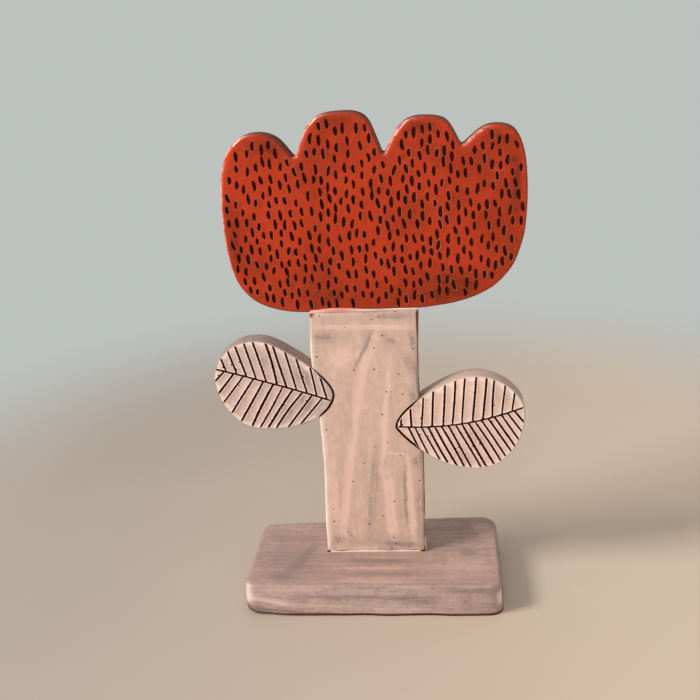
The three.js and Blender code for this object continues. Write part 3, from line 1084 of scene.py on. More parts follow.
@dataclass
class FlowerHead:
    """The red head: four rounded petals over a broad belly, carved all over with short gouge marks.

    A petal is (across, height, fullness to its left, fullness to its right) and a notch is (across,
    height, steepness of its left wall, steepness of its right wall), from the stem's centre line and
    the seam. A mark's lean is a mean and a spread in degrees, its other pairs a least and a most, and
    its burrs and wall shade are those on its left and on its right; the left wall is painted darker, as
    painted shade.
    """

    upright: Upright
    finish: RedGlaze = RedGlaze()
    petals: tuple = (
        (-43.5, 86.6, 0.86, 0.56),
        (-6.0, 94.1, 0.76, 0.78),
        (33.8, 90.0, 0.63, 0.69),
        (66.3, 84.5, 0.50, 0.73),
    )
    notches: tuple = ((-26.6, 75.5, 0.55, 0.50), (15.2, 75.0, 0.85, 0.60), (51.2, 77.0, 0.72, 0.38))
    notch_width: float = 1.6
    notch_dip: float = 0.5
    notch_flare: float = 0.28
    left_reach: tuple = (-63.4, 42.0, 0.58)
    right_reach: tuple = (80.3, 54.0, 0.82)
    seat_half: float = 28.7
    belly_level: float = 0.72
    belly_upright: float = 0.72
    belly_rise: float = 0.04
    rim_round: float = 0.8
    slope_round: float = 2.0
    seat_round: float = 0.5
    seat_ease: float = 3.0
    seat_height: float = 0.5
    curve_steps: int = 120
    outline_step: float = 0.8
    lit_from: tuple = (-0.86, 0.5)
    lit_depth: float = 3.0
    lit_least: float = 0.1
    lit_gain: float = 2.5
    mark_margin: float = 0.9
    mark_room: tuple = (3.45, 5.0)
    mark_length: tuple = (2.6, 4.3)
    mark_lean: tuple = (3.0, 5.8)
    mark_bend: float = 0.16
    mark_fat: tuple = (0.5, 1.45)
    mark_half: tuple = (0.76, 1.02)
    mark_tip: float = 0.56
    mark_depth: tuple = (0.9, 1.3)
    mark_slant: float = -0.3
    # Burr sizes, larger on the right, where the crests are painted paler, partly as a painted highlight.
    mark_burrs: tuple = (0.15, 1.6)
    mark_wall_shade: tuple = (1.0, 0.62)
    mark_tries: int = 16000
    strokes: tuple = (
        (16.0, 5.0, 62.0, 13.0, 10.0, -0.42), (30.0, 4.0, 58.0, 12.0, 4.0, -0.2),
        (-14.0, 88.0, 3.0, 91.0, 4.0, -0.35), (25.0, 86.5, 42.0, 86.5, 3.6, -0.5),
        (60.0, 80.5, 73.0, 77.5, 4.0, -0.4), (75.2, 42.0, 74.8, 76.0, 2.6, -0.5),
        (79.0, 34.0, 78.6, 72.0, 1.4, 0.55), (64.0, 84.0, 75.0, 80.0, 1.3, 0.4),
        (-32.0, 12.0, -4.0, 8.0, 8.0, -0.38), (-59.0, 50.0, -57.0, 24.0, 3.0, -0.4),
        (-44.0, 82.0, -33.0, 78.0, 4.0, -0.5), (66.0, 20.0, 68.0, 70.0, 14.0, -0.14),
        (36.0, 28.0, 62.0, 32.0, 11.0, 0.4), (-12.0, 50.0, 6.0, 56.0, 15.0, 0.35),
        (-44.0, 62.0, -32.0, 40.0, 11.0, 0.3),
    )

    def outline(self) -> Array:
        """Outline from the seat, up the right side, over the petals and down the left side.

        Returns:
            Points at even distances.
        """
        first, last = self.petals[0], self.petals[-1]
        curves = [straight((-self.seat_half, 0.0), (self.seat_half, 0.0))]
        curves += self.flank(self.right_reach, 1.0, last, last[3])
        for left, notch, right in reversed(list(zip(self.petals, self.notches, self.petals[1:]))):
            descent = self.petal_wall(notch, right, 1.0, notch[3], right[2])
            ascent = self.petal_wall(notch, left, -1.0, notch[2], left[3])
            control = np.array([notch[0], notch[1] - 2 * self.notch_dip])
            pulls = [end + (control - end) * 2 / 3 for end in (descent[0], ascent[0])]
            curves += [descent[::-1], [descent[0], *pulls, ascent[0]], ascent]
        curves += [curve[::-1] for curve in self.flank(self.left_reach, -1.0, first, first[2])[::-1]]
        return resample(bezier_chain(curves, self.curve_steps), self.outline_step)

    def flank(self, reach: tuple, side: float, petal: tuple, full: float) -> list:
        """Curves of one side: from the seat to its widest point, and on to the crest of the outer petal.

        Args:
            reach: The widest point and the shoulder's fullness.
            side: 1 on the right and -1 on the left.
            petal: The outer petal.
            full: The petal's fullness on that side.

        Returns:
            Two curves of four knots.
        """
        leave, arrive = (self.belly_level, self.belly_rise), (0.0, self.belly_upright)
        belly = arc((side * self.seat_half, 0.0), reach[:2], leave, arrive)
        return [belly, arc(reach[:2], petal[:2], (0.0, reach[2]), (full, 0.0))]

    def petal_wall(self, notch: tuple, petal: tuple, side: float, steep: float, full: float) -> Array:
        """Curve from the bottom of a notch to the crest of the petal on its right (1) or left (-1) side."""
        foot = (notch[0] + side * self.notch_width / 2, notch[1])
        return arc(foot, petal[:2], (self.notch_flare, steep), (full, 0.0))

    def gouge_marks(self, border: Array, seed: int) -> Cuts:
        """Short gouge marks scattered evenly: a place is kept if no earlier mark is too near.

        Near is measured in an upright ellipse, because the marks are long and upright. A mark is a
        teardrop, a sine hump along a leaning line.

        Args:
            border: Border of the head's flat face.
            seed: Seed of the scatter.

        Returns:
            The marks.
        """
        draw = np.random.default_rng(seed)
        places = scatter(draw, border, 0.0, self.mark_tries)
        lengths = draw.uniform(*self.mark_length, self.mark_tries)
        lean = np.radians(draw.normal(*self.mark_lean, self.mark_tries))
        reach = np.column_stack([np.sin(lean), -np.cos(lean)]) * lengths[:, None] / 2
        ends = np.stack([places - reach, places, places + reach], axis=1)
        flat = ends.reshape(-1, 2)
        clear = inside(flat, border) & (nearest(flat, border) > self.mark_margin)
        usable = clear.reshape(-1, 3).all(axis=1)
        places, reach = places[usable], reach[usable]
        kept: list[int] = []
        for number, place in enumerate(places / np.array(self.mark_room)):
            taken = places[kept] / np.array(self.mark_room)
            if not kept or ((taken - place) ** 2).sum(axis=1).min() > 1.0:
                kept.append(number)
        places, reach, count = places[kept], reach[kept], len(kept)
        share = np.linspace(0.0, 1.0, 5)
        path = places[:, None] + reach[:, None] * (2 * share - 1)[None, :, None]
        path[..., 0] += draw.normal(0.0, self.mark_bend, (count, 1)) * np.sin(np.pi * share)
        fat = draw.uniform(*self.mark_fat, (count, 1))
        width = draw.uniform(*self.mark_half, (count, 1))
        hump = np.sin(np.pi * share[None] ** fat) ** 0.8
        half = width * (self.mark_tip + (1.0 - self.mark_tip) * hump)
        LOG.info("gouge marks: %d", count)
        burr = draw.uniform(0.0, 1.0, (count, 1)) ** 4 * np.array(self.mark_burrs)
        depth = draw.uniform(*self.mark_depth, count)
        return Cuts(path, half, depth, lean=self.mark_slant, lips=burr, walls=self.mark_wall_shade)

    def build(self) -> None:
        """Builds and dresses the head, with the rim nearly square where it meets the stem."""
        outline = self.outline()
        on_seat = (np.abs(outline[:, 0]) < self.seat_half) & (outline[:, 1] < self.seat_height)
        inner = clamp((self.seat_half - np.abs(outline[:, 0])) / self.seat_ease) * on_seat
        slope = (outward(outline) @ np.array(self.lit_from)).clip(0.0) ** 4
        rounding = self.rim_round + self.slope_round * slope + (self.seat_round - self.rim_round) * inner
        border = outline - outward(outline) * rounding[:, None]
        slab = ClaySlab(
            "flower_head_carved", outline, self.upright.thickness, self.upright.origin, rounding, rounding,
            [self.gouge_marks(border, 21)], [self.gouge_marks(border, 22)],
        )
        piece = slab.build()
        place = points_of(piece) - np.array([self.upright.centre, 0.0, self.upright.seam])
        set_paint(piece, "tone", brushed(place[:, [0, 2]], self.strokes))
        # Shine paint: the rim that faces the lamp, near the front; the glaze paints a pale highlight there
        # and gives it a thicker coat.
        near_front = bell((place[:, 1] - self.upright.front).clip(0.0), self.lit_depth)
        lit = self.lit_least + (1.0 - self.lit_least) * slope
        lit = slab.spread(lit, len(place)) * near_front
        set_paint(piece, "shine", clamp(paint_of(piece, "rim") * lit * self.lit_gain))
        dress(piece, self.finish.material(), "red_glaze", "flower_head")


@dataclass
class Leaf:
    """A leaf slab: an egg outline on a midrib, with straight veins cut from the midrib to the rim.

    Sizes follow the leaf's own frame, from its tip in the stem outwards along the midrib and upwards.
    The rib's span is its start and its length as shares of the leaf's length, and the pocket's flare has
    rows of (depth, growth). A vein's section has a narrow burr, a steep wall and a flat floor.
    """

    upright: Upright
    finish: PaleGlaze
    name: str
    node: str
    side: float
    lap: float
    drop: float
    tilt: float
    length: float
    widest: float
    upper: tuple
    lower: tuple
    midrib: tuple
    upper_veins: tuple
    lower_veins: tuple
    strokes: tuple
    seed: int
    lap_depth: float = 5.0
    lap_clear: float = 0.7
    wall_depth: float = 0.45
    gap: tuple = (0.35, 1.0)
    pocket_flare: tuple = ((-0.6, 0.7), (0.0, 0.24), (0.3, 0.0))
    pocket_spare: float = 0.6
    tuck: float = 0.7
    tuck_ease: float = 3.5
    vein_half: float = 0.5
    vein_depth: float = 0.8
    vein_section: tuple = (
        (1.0, 0.66, 0.0, 0.00, 0.0, 0.0),
        (1.0, 0.36, 0.0, 0.12, 0.0, 0.8),
        (1.0, 0.14, 0.0, 0.15, 0.0, 1.0),
        (1.0, 0.02, 0.1, 0.02, 0.5, 0.5),
        (0.72, 0.0, 0.8, 0.00, 1.0, 0.0),
        (0.25, 0.0, 1.0, 0.00, 1.0, 0.0),
    )
    vein_steps: int = 22
    vein_taper: float = 0.2
    vein_starts: tuple = (0.2, 0.9)
    near_starts: float = 0.75
    ray_step: float = 0.1
    vein_stop: tuple = (0.0, 0.35)
    shortest_vein: float = 2.0
    foot_spread: float = 0.0025
    angle_spread: float = 0.8
    bend_spread: float = 0.4
    press: tuple = (0.86, 1.16)
    rib_press: float = 0.9
    rib_span: tuple = (0.012, 0.972)
    rib_parts: int = 5
    crumbs: int = 9
    crumb_half: float = 0.22
    crumb_width: float = 0.5
    crumb_away: tuple = (0.7, 1.1)
    rim_round: float = 0.55
    tip_round: float = 0.25
    rim_ease: float = 4.0
    border_share: float = 0.6
    curve_steps: int = 120
    outline_step: float = 0.7

    def to_slab(self, points: Array) -> Array:
        """Turns leaf points by the tilt and moves them to the tip's place on the stem.

        Args:
            points: Points in the leaf's own frame, shape (..., 2).

        Returns:
            Points from the stem's centre line and the seam.
        """
        turn = np.radians(self.tilt)
        along = np.array([self.side * np.cos(turn), np.sin(turn)])
        up = np.array([-self.side * np.sin(turn), np.cos(turn)])
        tip = np.array([self.side * (self.upright.half_width - self.lap), -self.drop])
        return tip + points[..., :1] * along + points[..., 1:] * up

    def own_outline(self) -> Array:
        """Egg outline: two cubic curves above and two below the midrib's chord.

        Returns:
            Points at even distances, in the leaf's own frame.
        """
        curves = []
        for (half, tip, inner, outer, end), sign in ((self.lower, -1.0), (self.upper, 1.0)):
            crest = (self.widest, sign * half)
            first = arc((0.0, 0.0), crest, (0.0, tip), (inner, 0.0))
            second = arc(crest, (self.length, 0.0), (outer, 0.0), (0.0, end))
            curves += [first, second] if sign < 0 else [second[::-1], first[::-1]]
        return resample(bezier_chain(curves, self.curve_steps), self.outline_step)

    def midrib_height(self, share: Array) -> Array:
        """Midrib above the chord: a straight line between its ends, less a parabola's sag."""
        start, end, sag = self.midrib
        return start * (1 - share) + end * share - 4 * sag * share * (1 - share)

    def veins(self, border: Array) -> Cuts:
        """Midrib and veins: each vein leaves the midrib at its angle and stops at the border.

        Args:
            border: Border of the leaf's flat face, in its own frame.

        Returns:
            The cuts, in the slab's frame.
        """
        draw = np.random.default_rng(self.seed)
        share = np.linspace(0.0, 1.0, self.vein_steps)
        rib_start, rib_length = self.rib_span
        rib = rib_start + rib_length * (np.arange(self.rib_parts)[:, None] + share) / self.rib_parts
        lines = list(np.dstack([rib * self.length, self.midrib_height(rib)]))
        reach = np.arange(0.0, self.length, self.ray_step)
        sides = ((self.upper_veins, 1.0), (self.lower_veins, -1.0))
        for (count, first, last, near, middle, far), sign in sides:
            for step in np.linspace(0.0, 1.0, count):
                foot = first + (last - first) * step + draw.normal(0.0, self.foot_spread)
                angle = np.interp(step, [0.0, 0.5, 1.0], [near, middle, far])
                angle = np.radians(angle + draw.normal(0.0, self.angle_spread))
                start = np.array([foot * self.length, self.midrib_height(np.array(foot))])
                bend = draw.normal(0.0, self.bend_spread)
                ray = self.vein_ray(start, angle, sign, bend, reach)
                held = inside(ray, border) & (nearest(ray, border) > draw.uniform(*self.vein_stop))
                end = reach[np.argmin(held)]
                begin = self.vein_starts[0 if draw.uniform() < self.near_starts else 1]
                if end > begin + self.shortest_vein:
                    even = begin + (end - begin) * share
                    lines.append(self.vein_ray(start, angle, sign, bend, even))
        path = self.to_slab(np.array(lines))
        press = draw.uniform(*self.press, (len(lines), 1))
        press[: self.rib_parts] = self.rib_press
        taper = 1.0 - self.vein_taper * np.abs(2 * share[None] - 1) ** 3
        on_rib = np.arange(len(lines))[:, None] < self.rib_parts
        half = self.vein_half * press * np.where(on_rib, 1.0, taper)
        crumbs = self.crumb_paths(draw, path[self.rib_parts :])
        half = np.concatenate([half, np.full(crumbs.shape[:2], self.crumb_width * self.vein_half)])
        path = np.concatenate([path, crumbs])
        depth = np.full(len(path), self.vein_depth)
        return Cuts(path, half, depth, crossing=True, section=self.vein_section)

    def crumb_paths(self, draw: np.random.Generator, veins: Array) -> Array:
        """Tiny nicks where crumbs of clay came away, each beside the inner half of a vein.

        Args:
            draw: Seeded source of random places.
            veins: Paths of the veins, shape (veins, steps, 2).

        Returns:
            Very short paths, shape (crumbs, steps, 2).
        """
        vein = draw.integers(0, len(veins), self.crumbs)
        at = draw.integers(2, self.vein_steps // 2, self.crumbs)
        heading = veins[vein, at + 1] - veins[vein, at]
        heading /= np.linalg.norm(heading, axis=1, keepdims=True)
        side = draw.choice([-1.0, 1.0], (self.crumbs, 1))
        beside = np.column_stack([-heading[:, 1], heading[:, 0]]) * side
        middle = veins[vein, at] + beside * draw.uniform(*self.crumb_away, (self.crumbs, 1))
        along = np.linspace(-self.crumb_half, self.crumb_half, self.vein_steps)[None, :, None]
        return middle[:, None] + heading[:, None] * along

    def vein_ray(
        self, start: Array, angle: float, sign: float, bend: float, reach: Array
    ) -> Array:
        """Straight line from the midrib with a slight sine bend along the leaf.

        Args:
            start: Foot of the vein.
            angle: Angle from the leaf's axis in radians.
            sign: 1 above the midrib and -1 below.
            bend: Size of the bend in millimetres.
            reach: Distances from the foot.

        Returns:
            Points of the line.
        """
        heading = np.array([np.cos(angle), sign * np.sin(angle)])
        sway = bend * np.sin(2 * np.pi * reach / self.length)
        return start + reach[:, None] * heading + sway[:, None] * np.array([1.0, 0.0])

    def pocket_cutter(self) -> Piece:
        """Closed shape of the pocket that the tip lies in: the outline grown by the gap, flared in front.

        Returns:
            The cutter.
        """
        outline = self.slab_outline()
        normal = outward(outline)
        rows = np.array([*self.pocket_flare, (self.lap_depth + self.pocket_spare, 0.0)])
        depth, flare = rows.T[:, :, None]
        gap = np.interp(self.within(outline), [0.0, 1.0], self.gap)
        flat = outline + normal * (flare + gap)[..., None]
        shell = Shell()
        levels = np.broadcast_to(depth, flat.shape[:2])
        rings = shell.add(np.dstack([flat, levels]), np.zeros(3))
        shell.strip(rings[:-1], rings[1:])
        across, front, up = self.upright.origin
        points = np.concatenate(shell.points)
        placed = np.column_stack([points[:, 0] + across, points[:, 2] + front, points[:, 1] + up])
        caps = [rings[0][None], rings[-1][None, ::-1]]
        return make_piece(self.name + "_cutter", placed, shell.faces + caps, np.concatenate(shell.paint))

    def lap_cutter(self) -> Piece:
        """Block that takes the back half of the tip away, up to the side of the stem.

        Returns:
            The cutter.
        """
        side = self.upright.centre + self.side * (self.upright.half_width + self.lap_clear)
        inner = self.upright.centre - self.side * self.upright.half_width
        low, high = sorted((side, inner))
        front, back = self.upright.front + self.lap_depth, self.upright.front + 2 * self.upright.thickness
        foot, top = self.upright.foot, self.upright.top
        corner = np.array([(x, y, z) for x in (low, high) for y in (front, back) for z in (foot, top)])
        quads = [[0, 1, 3, 2], [4, 6, 7, 5], [0, 4, 5, 1], [2, 3, 7, 6], [0, 2, 6, 4], [1, 5, 7, 3]]
        return make_piece(self.name + "_block", corner, [np.array(quads)], np.zeros((8, 3)))

    def within(self, outline: Array) -> Array:
        """How far points lie inside the stem: 0 at its side, 1 from a few millimetres in."""
        return clamp((self.upright.half_width - self.side * outline[:, 0]) / self.tuck_ease)

    def slab_outline(self) -> Array:
        """Outline in the slab's frame, anticlockwise, drawn in a little where the tip lies in the stem."""
        outline = resample(self.to_slab(self.own_outline()), self.outline_step)
        return outline - outward(outline) * (self.tuck * self.within(outline))[:, None]

    def build(self) -> None:
        """Builds the leaf, cuts its tip to half thickness and dresses it."""
        outline = self.slab_outline()
        half = self.upright.half_width
        out = clamp((self.side * outline[:, 0] - half) / self.rim_ease)
        rounding = self.tip_round + (self.rim_round - self.tip_round) * out
        own = self.own_outline()
        border = own - outward(own) * self.rim_round * self.border_share
        slab = ClaySlab(
            self.name, outline, self.upright.thickness, self.upright.origin,
            rounding, np.full(len(outline), self.rim_round), [self.veins(border)], [self.veins(border)],
        )
        piece = slab.build()
        cut_away(piece, self.lap_cutter())
        place = points_of(piece)
        depth = place[:, 1] - self.upright.front
        in_stem = self.side * (place[:, 0] - self.upright.centre) < half
        wall = in_stem & (depth > self.wall_depth)
        darken(piece, wall)
        set_paint(piece, "rim", paint_of(piece, "rim") * ~in_stem)
        flat = (place - np.array(self.upright.origin))[:, [0, 2]]
        set_paint(piece, "tone", brushed(flat, self.strokes))
        dress(piece, self.finish.material(), "pale_glaze", self.node)


@dataclass
class Stem:
    """The stem slab: slightly wavy sides, two pockets for the leaf tips, pinholes, worn edges and a painted
    highlight on its left edge.
    """

    upright: Upright
    finish: PaleGlaze
    leaves: list
    left_bow: tuple = (1.1, 0.8, 0.0, -1.0, -1.1, -0.6, 0.8, 0.6, -0.9)
    right_bow: tuple = (-0.9, 0.0, 0.5, 0.9, 0.8, 0.2, 0.4, 0.9, 2.0)
    bow_points: int = 200
    bow_smooth: int = 21
    edge_round: float = 1.3
    end_round: float = 0.45
    end_ease: float = 2.0
    outline_step: float = 0.9
    grid_step: float = 0.75
    pit_count: int = 16
    pit_margin: float = 2.5
    pit_clear: float = 2.0
    pit_radius: tuple = (0.13, 0.34)
    pit_depth: float = 0.4
    pocket_reach: float = 1.1
    pocket_side: float = 0.5
    pocket_depth: tuple = (0.25, 7.0)
    foot_ease: float = 3.0
    edge_highlight_fade: float = 3.0
    worn_height: float = 130.0
    worn_spread: float = 13.0
    corner_out: float = 1.0
    corner_spread: float = 0.7
    corner_depth: float = 1.2
    drip_size: tuple = (3.4, 2.7)
    sway: float = 0.6
    bubbles: tuple = (
        (-20.4, 134.6), (-8.6, 128.2), (5.2, 116.8), (-5.4, 105.4), (4.6, 105.4), (9.6, 123.2), (24.5, 115.8),
        (16.7, 102.6), (2.2, 62.4), (-3.6, 53.0), (15.2, 57.2), (16.9, 30.4), (-22.2, 18.2), (-2.8, 0.9),
        (7.9, 1.4), (10.4, 3.9), (-24.2, 4.2), (-22.6, 1.6), (16.8, 135.4), (-22.0, 72.6),
    )
    strokes: tuple = (
        (-17.6, 4.0, -7.5, 71.0, 2.1, 0.5, -1.3), (-8.5, 66.0, 5.0, 121.0, 2.4, 0.36, -2.0),
        (-7.0, 80.5, 1.5, 88.0, 2.0, 0.2), (4.6, 46.0, 12.7, 113.0, 1.4, 0.45, 0.4),
        (9.0, 6.0, 7.6, 47.0, 2.7, 0.66), (20.4, 6.5, 19.0, 55.5, 1.3, 0.66),
        (7.0, 59.4, 19.2, 58.0, 0.8, 0.3), (-17.3, 110.2, -4.5, 114.2, 5.0, 0.34),
        (-24.9, 128.6, 25.6, 127.1, 1.2, 0.42), (-21.5, 16.0, -20.5, 62.0, 2.6, 0.25),
        (-5.1, 105.3, 4.5, 126.2, 0.9, -0.6, 0.3), (-24.6, 122.9, -14.6, 123.0, 2.5, -0.5),
        (-2.7, 12.0, 3.8, 61.5, 2.3, -0.32, -0.5), (16.8, 11.6, 17.0, 51.6, 0.9, -0.6, -0.4),
        (24.0, 3.0, 25.6, 43.0, 2.4, -0.38), (25.6, 40.0, 25.9, 118.0, 1.5, -0.36),
        (24.4, 117.6, 24.0, 124.6, 1.4, -0.6), (24.6, 102.6, 20.5, 113.0, 2.1, -0.45),
        (23.0, 87.0, 22.4, 93.0, 1.6, -0.55), (22.2, 50.5, 22.4, 55.3, 1.3, -0.55),
        (11.5, 121.5, 16.0, 119.0, 2.2, -0.42), (4.9, 133.1, 25.9, 132.7, 1.6, -0.42),
        (-23.0, 7.0, -19.0, 7.5, 2.0, -0.55), (-15.6, 16.0, -13.0, 8.5, 0.9, -0.45, 0.8),
        (4.0, 4.5, 22.0, 3.0, 1.3, -0.6), (-24.0, 5.0, 25.0, 4.0, 4.5, -0.2),
    )

    def side_offset(self, bow: tuple, share: Array) -> Array:
        """Offsets at even heights joined by straight lines, then smoothed by a moving mean."""
        run = np.pad(np.interp(share, np.linspace(0.0, 1.0, len(bow)), bow), self.bow_smooth // 2, "edge")
        return np.convolve(run, np.full(self.bow_smooth, 1 / self.bow_smooth), "valid")

    def outline(self) -> Array:
        """Outline from the foot: two level ends and two uneven sides.

        Returns:
            Points at even distances.
        """
        share = np.linspace(0.0, 1.0, self.bow_points)
        height = self.upright.foot + (self.upright.top - self.upright.foot) * share - self.upright.seam
        half = self.upright.half_width
        right = np.column_stack([half + self.side_offset(self.right_bow, share), height])
        left = np.column_stack([-half - self.side_offset(self.left_bow, share), height])
        return resample(np.concatenate([right, left[::-1]]), self.outline_step)

    def pits(self, outline: Array, seed: int) -> Cuts:
        """Pinholes scattered over a face, clear of the leaves.

        Args:
            outline: Outline of the stem.
            seed: Seed of the scatter.

        Returns:
            The pits.
        """
        draw = np.random.default_rng(seed)
        places = scatter(draw, outline, self.pit_margin, self.pit_count)
        clear = np.ones(len(places), dtype=bool)
        for border in (leaf.slab_outline() for leaf in self.leaves):
            clear &= ~inside(places, border) & (nearest(places, border) > self.pit_clear)
        placed = np.array(self.bubbles) + np.array([0.0, self.upright.foot - self.upright.seam])
        return pinholes(draw, np.concatenate([placed, places[clear]]), self.pit_radius, self.pit_depth)

    def build(self) -> None:
        """Builds the stem, cuts the pockets, paints it and dresses it."""
        outline = self.outline()
        height = outline[:, 1] + self.upright.seam
        from_end = np.minimum(height - self.upright.foot, self.upright.top - height)
        inner = clamp(from_end / self.end_ease)
        rounding = self.end_round + (self.edge_round - self.end_round) * inner
        slab = ClaySlab(
            "stem_brushed", outline, self.upright.thickness, self.upright.origin, rounding, rounding,
            [self.pits(outline, 31)], [self.pits(outline, 32)], grid_step=self.grid_step,
        )
        piece = slab.build()
        for leaf in self.leaves:
            cut_away(piece, leaf.pocket_cutter())
        self.paint_edges(piece)
        self.paint_glaze(piece)
        dress(piece, self.finish.material(), "pale_glaze", "stem_slab")

    def own_places(self, place: Array) -> list[Array]:
        """Distances of points from the stem's centre line, from its front and from its foot."""
        origin = (self.upright.centre, self.upright.front, self.upright.foot)
        return [place[:, axis] - start for axis, start in enumerate(origin)]

    def paint_edges(self, piece: Piece) -> None:
        """Paints bare clay on the right edge, most of it high up, the turned sides, partly as painted shade,
        and a painted highlight on the left edge.

        Args:
            piece: The piece.
        """
        place = points_of(piece)
        across, depth, up = self.own_places(place)
        rim = paint_of(piece, "rim")
        right = clamp(across / self.upright.half_width) ** 6
        long_side = clamp(up / self.foot_ease)
        high = bell(up - self.worn_height, self.worn_spread)
        worn = (0.62 + 0.4 * high) * clamp(depth / (0.75 - 0.5 * high))
        patchy = clamp(1.25 - depth / 6.0 + Ripple(33, 9.0, 0.3).at(place))
        patchy *= 1.0 - high * clamp(depth - 0.6)
        beyond = across - self.upright.half_width - self.corner_out
        corner = 0.9 * bell(beyond, self.corner_spread) * high * (depth < self.corner_depth)
        set_paint(piece, "bare", np.maximum(rim * right * long_side * worn * patchy, corner))
        # The right side takes the greyer side colour, partly painted shade; the left edge takes a painted
        # highlight that fades back from the front.
        on_side = rim * clamp(depth - 0.5)
        left_edge_highlight = 0.5 * np.sqrt(rim) * bell(depth, self.edge_highlight_fade) * (1.0 - 0.85 * high)
        set_paint(piece, "rim", long_side * np.where(across < 0.0, left_edge_highlight, on_side))

    def paint_glaze(self, piece: Piece) -> None:
        """Paints dark pocket walls, the brush strokes and the red run at the top left corner.

        Args:
            piece: The piece.
        """
        place = points_of(piece)
        across, depth, up = self.own_places(place)
        flat = np.column_stack([across, place[:, 2] - self.upright.seam])
        from_leaf = np.min([nearest(flat, leaf.slab_outline()) for leaf in self.leaves], axis=0)
        in_stem = np.abs(across) < self.upright.half_width - self.pocket_side
        shallow, deep = self.pocket_depth
        in_pocket = (from_leaf < self.pocket_reach) & in_stem & (depth > shallow) & (depth < deep)
        darken(piece, in_pocket)
        set_paint(piece, "tone", brushed(np.column_stack([across, up]), self.strokes, self.sway))
        width, height = self.drip_size
        away = np.hypot((across + self.upright.half_width) / width, (place[:, 2] - self.upright.top) / height)
        set_paint(piece, "drip", clamp(3.0 * (1.1 - away)))


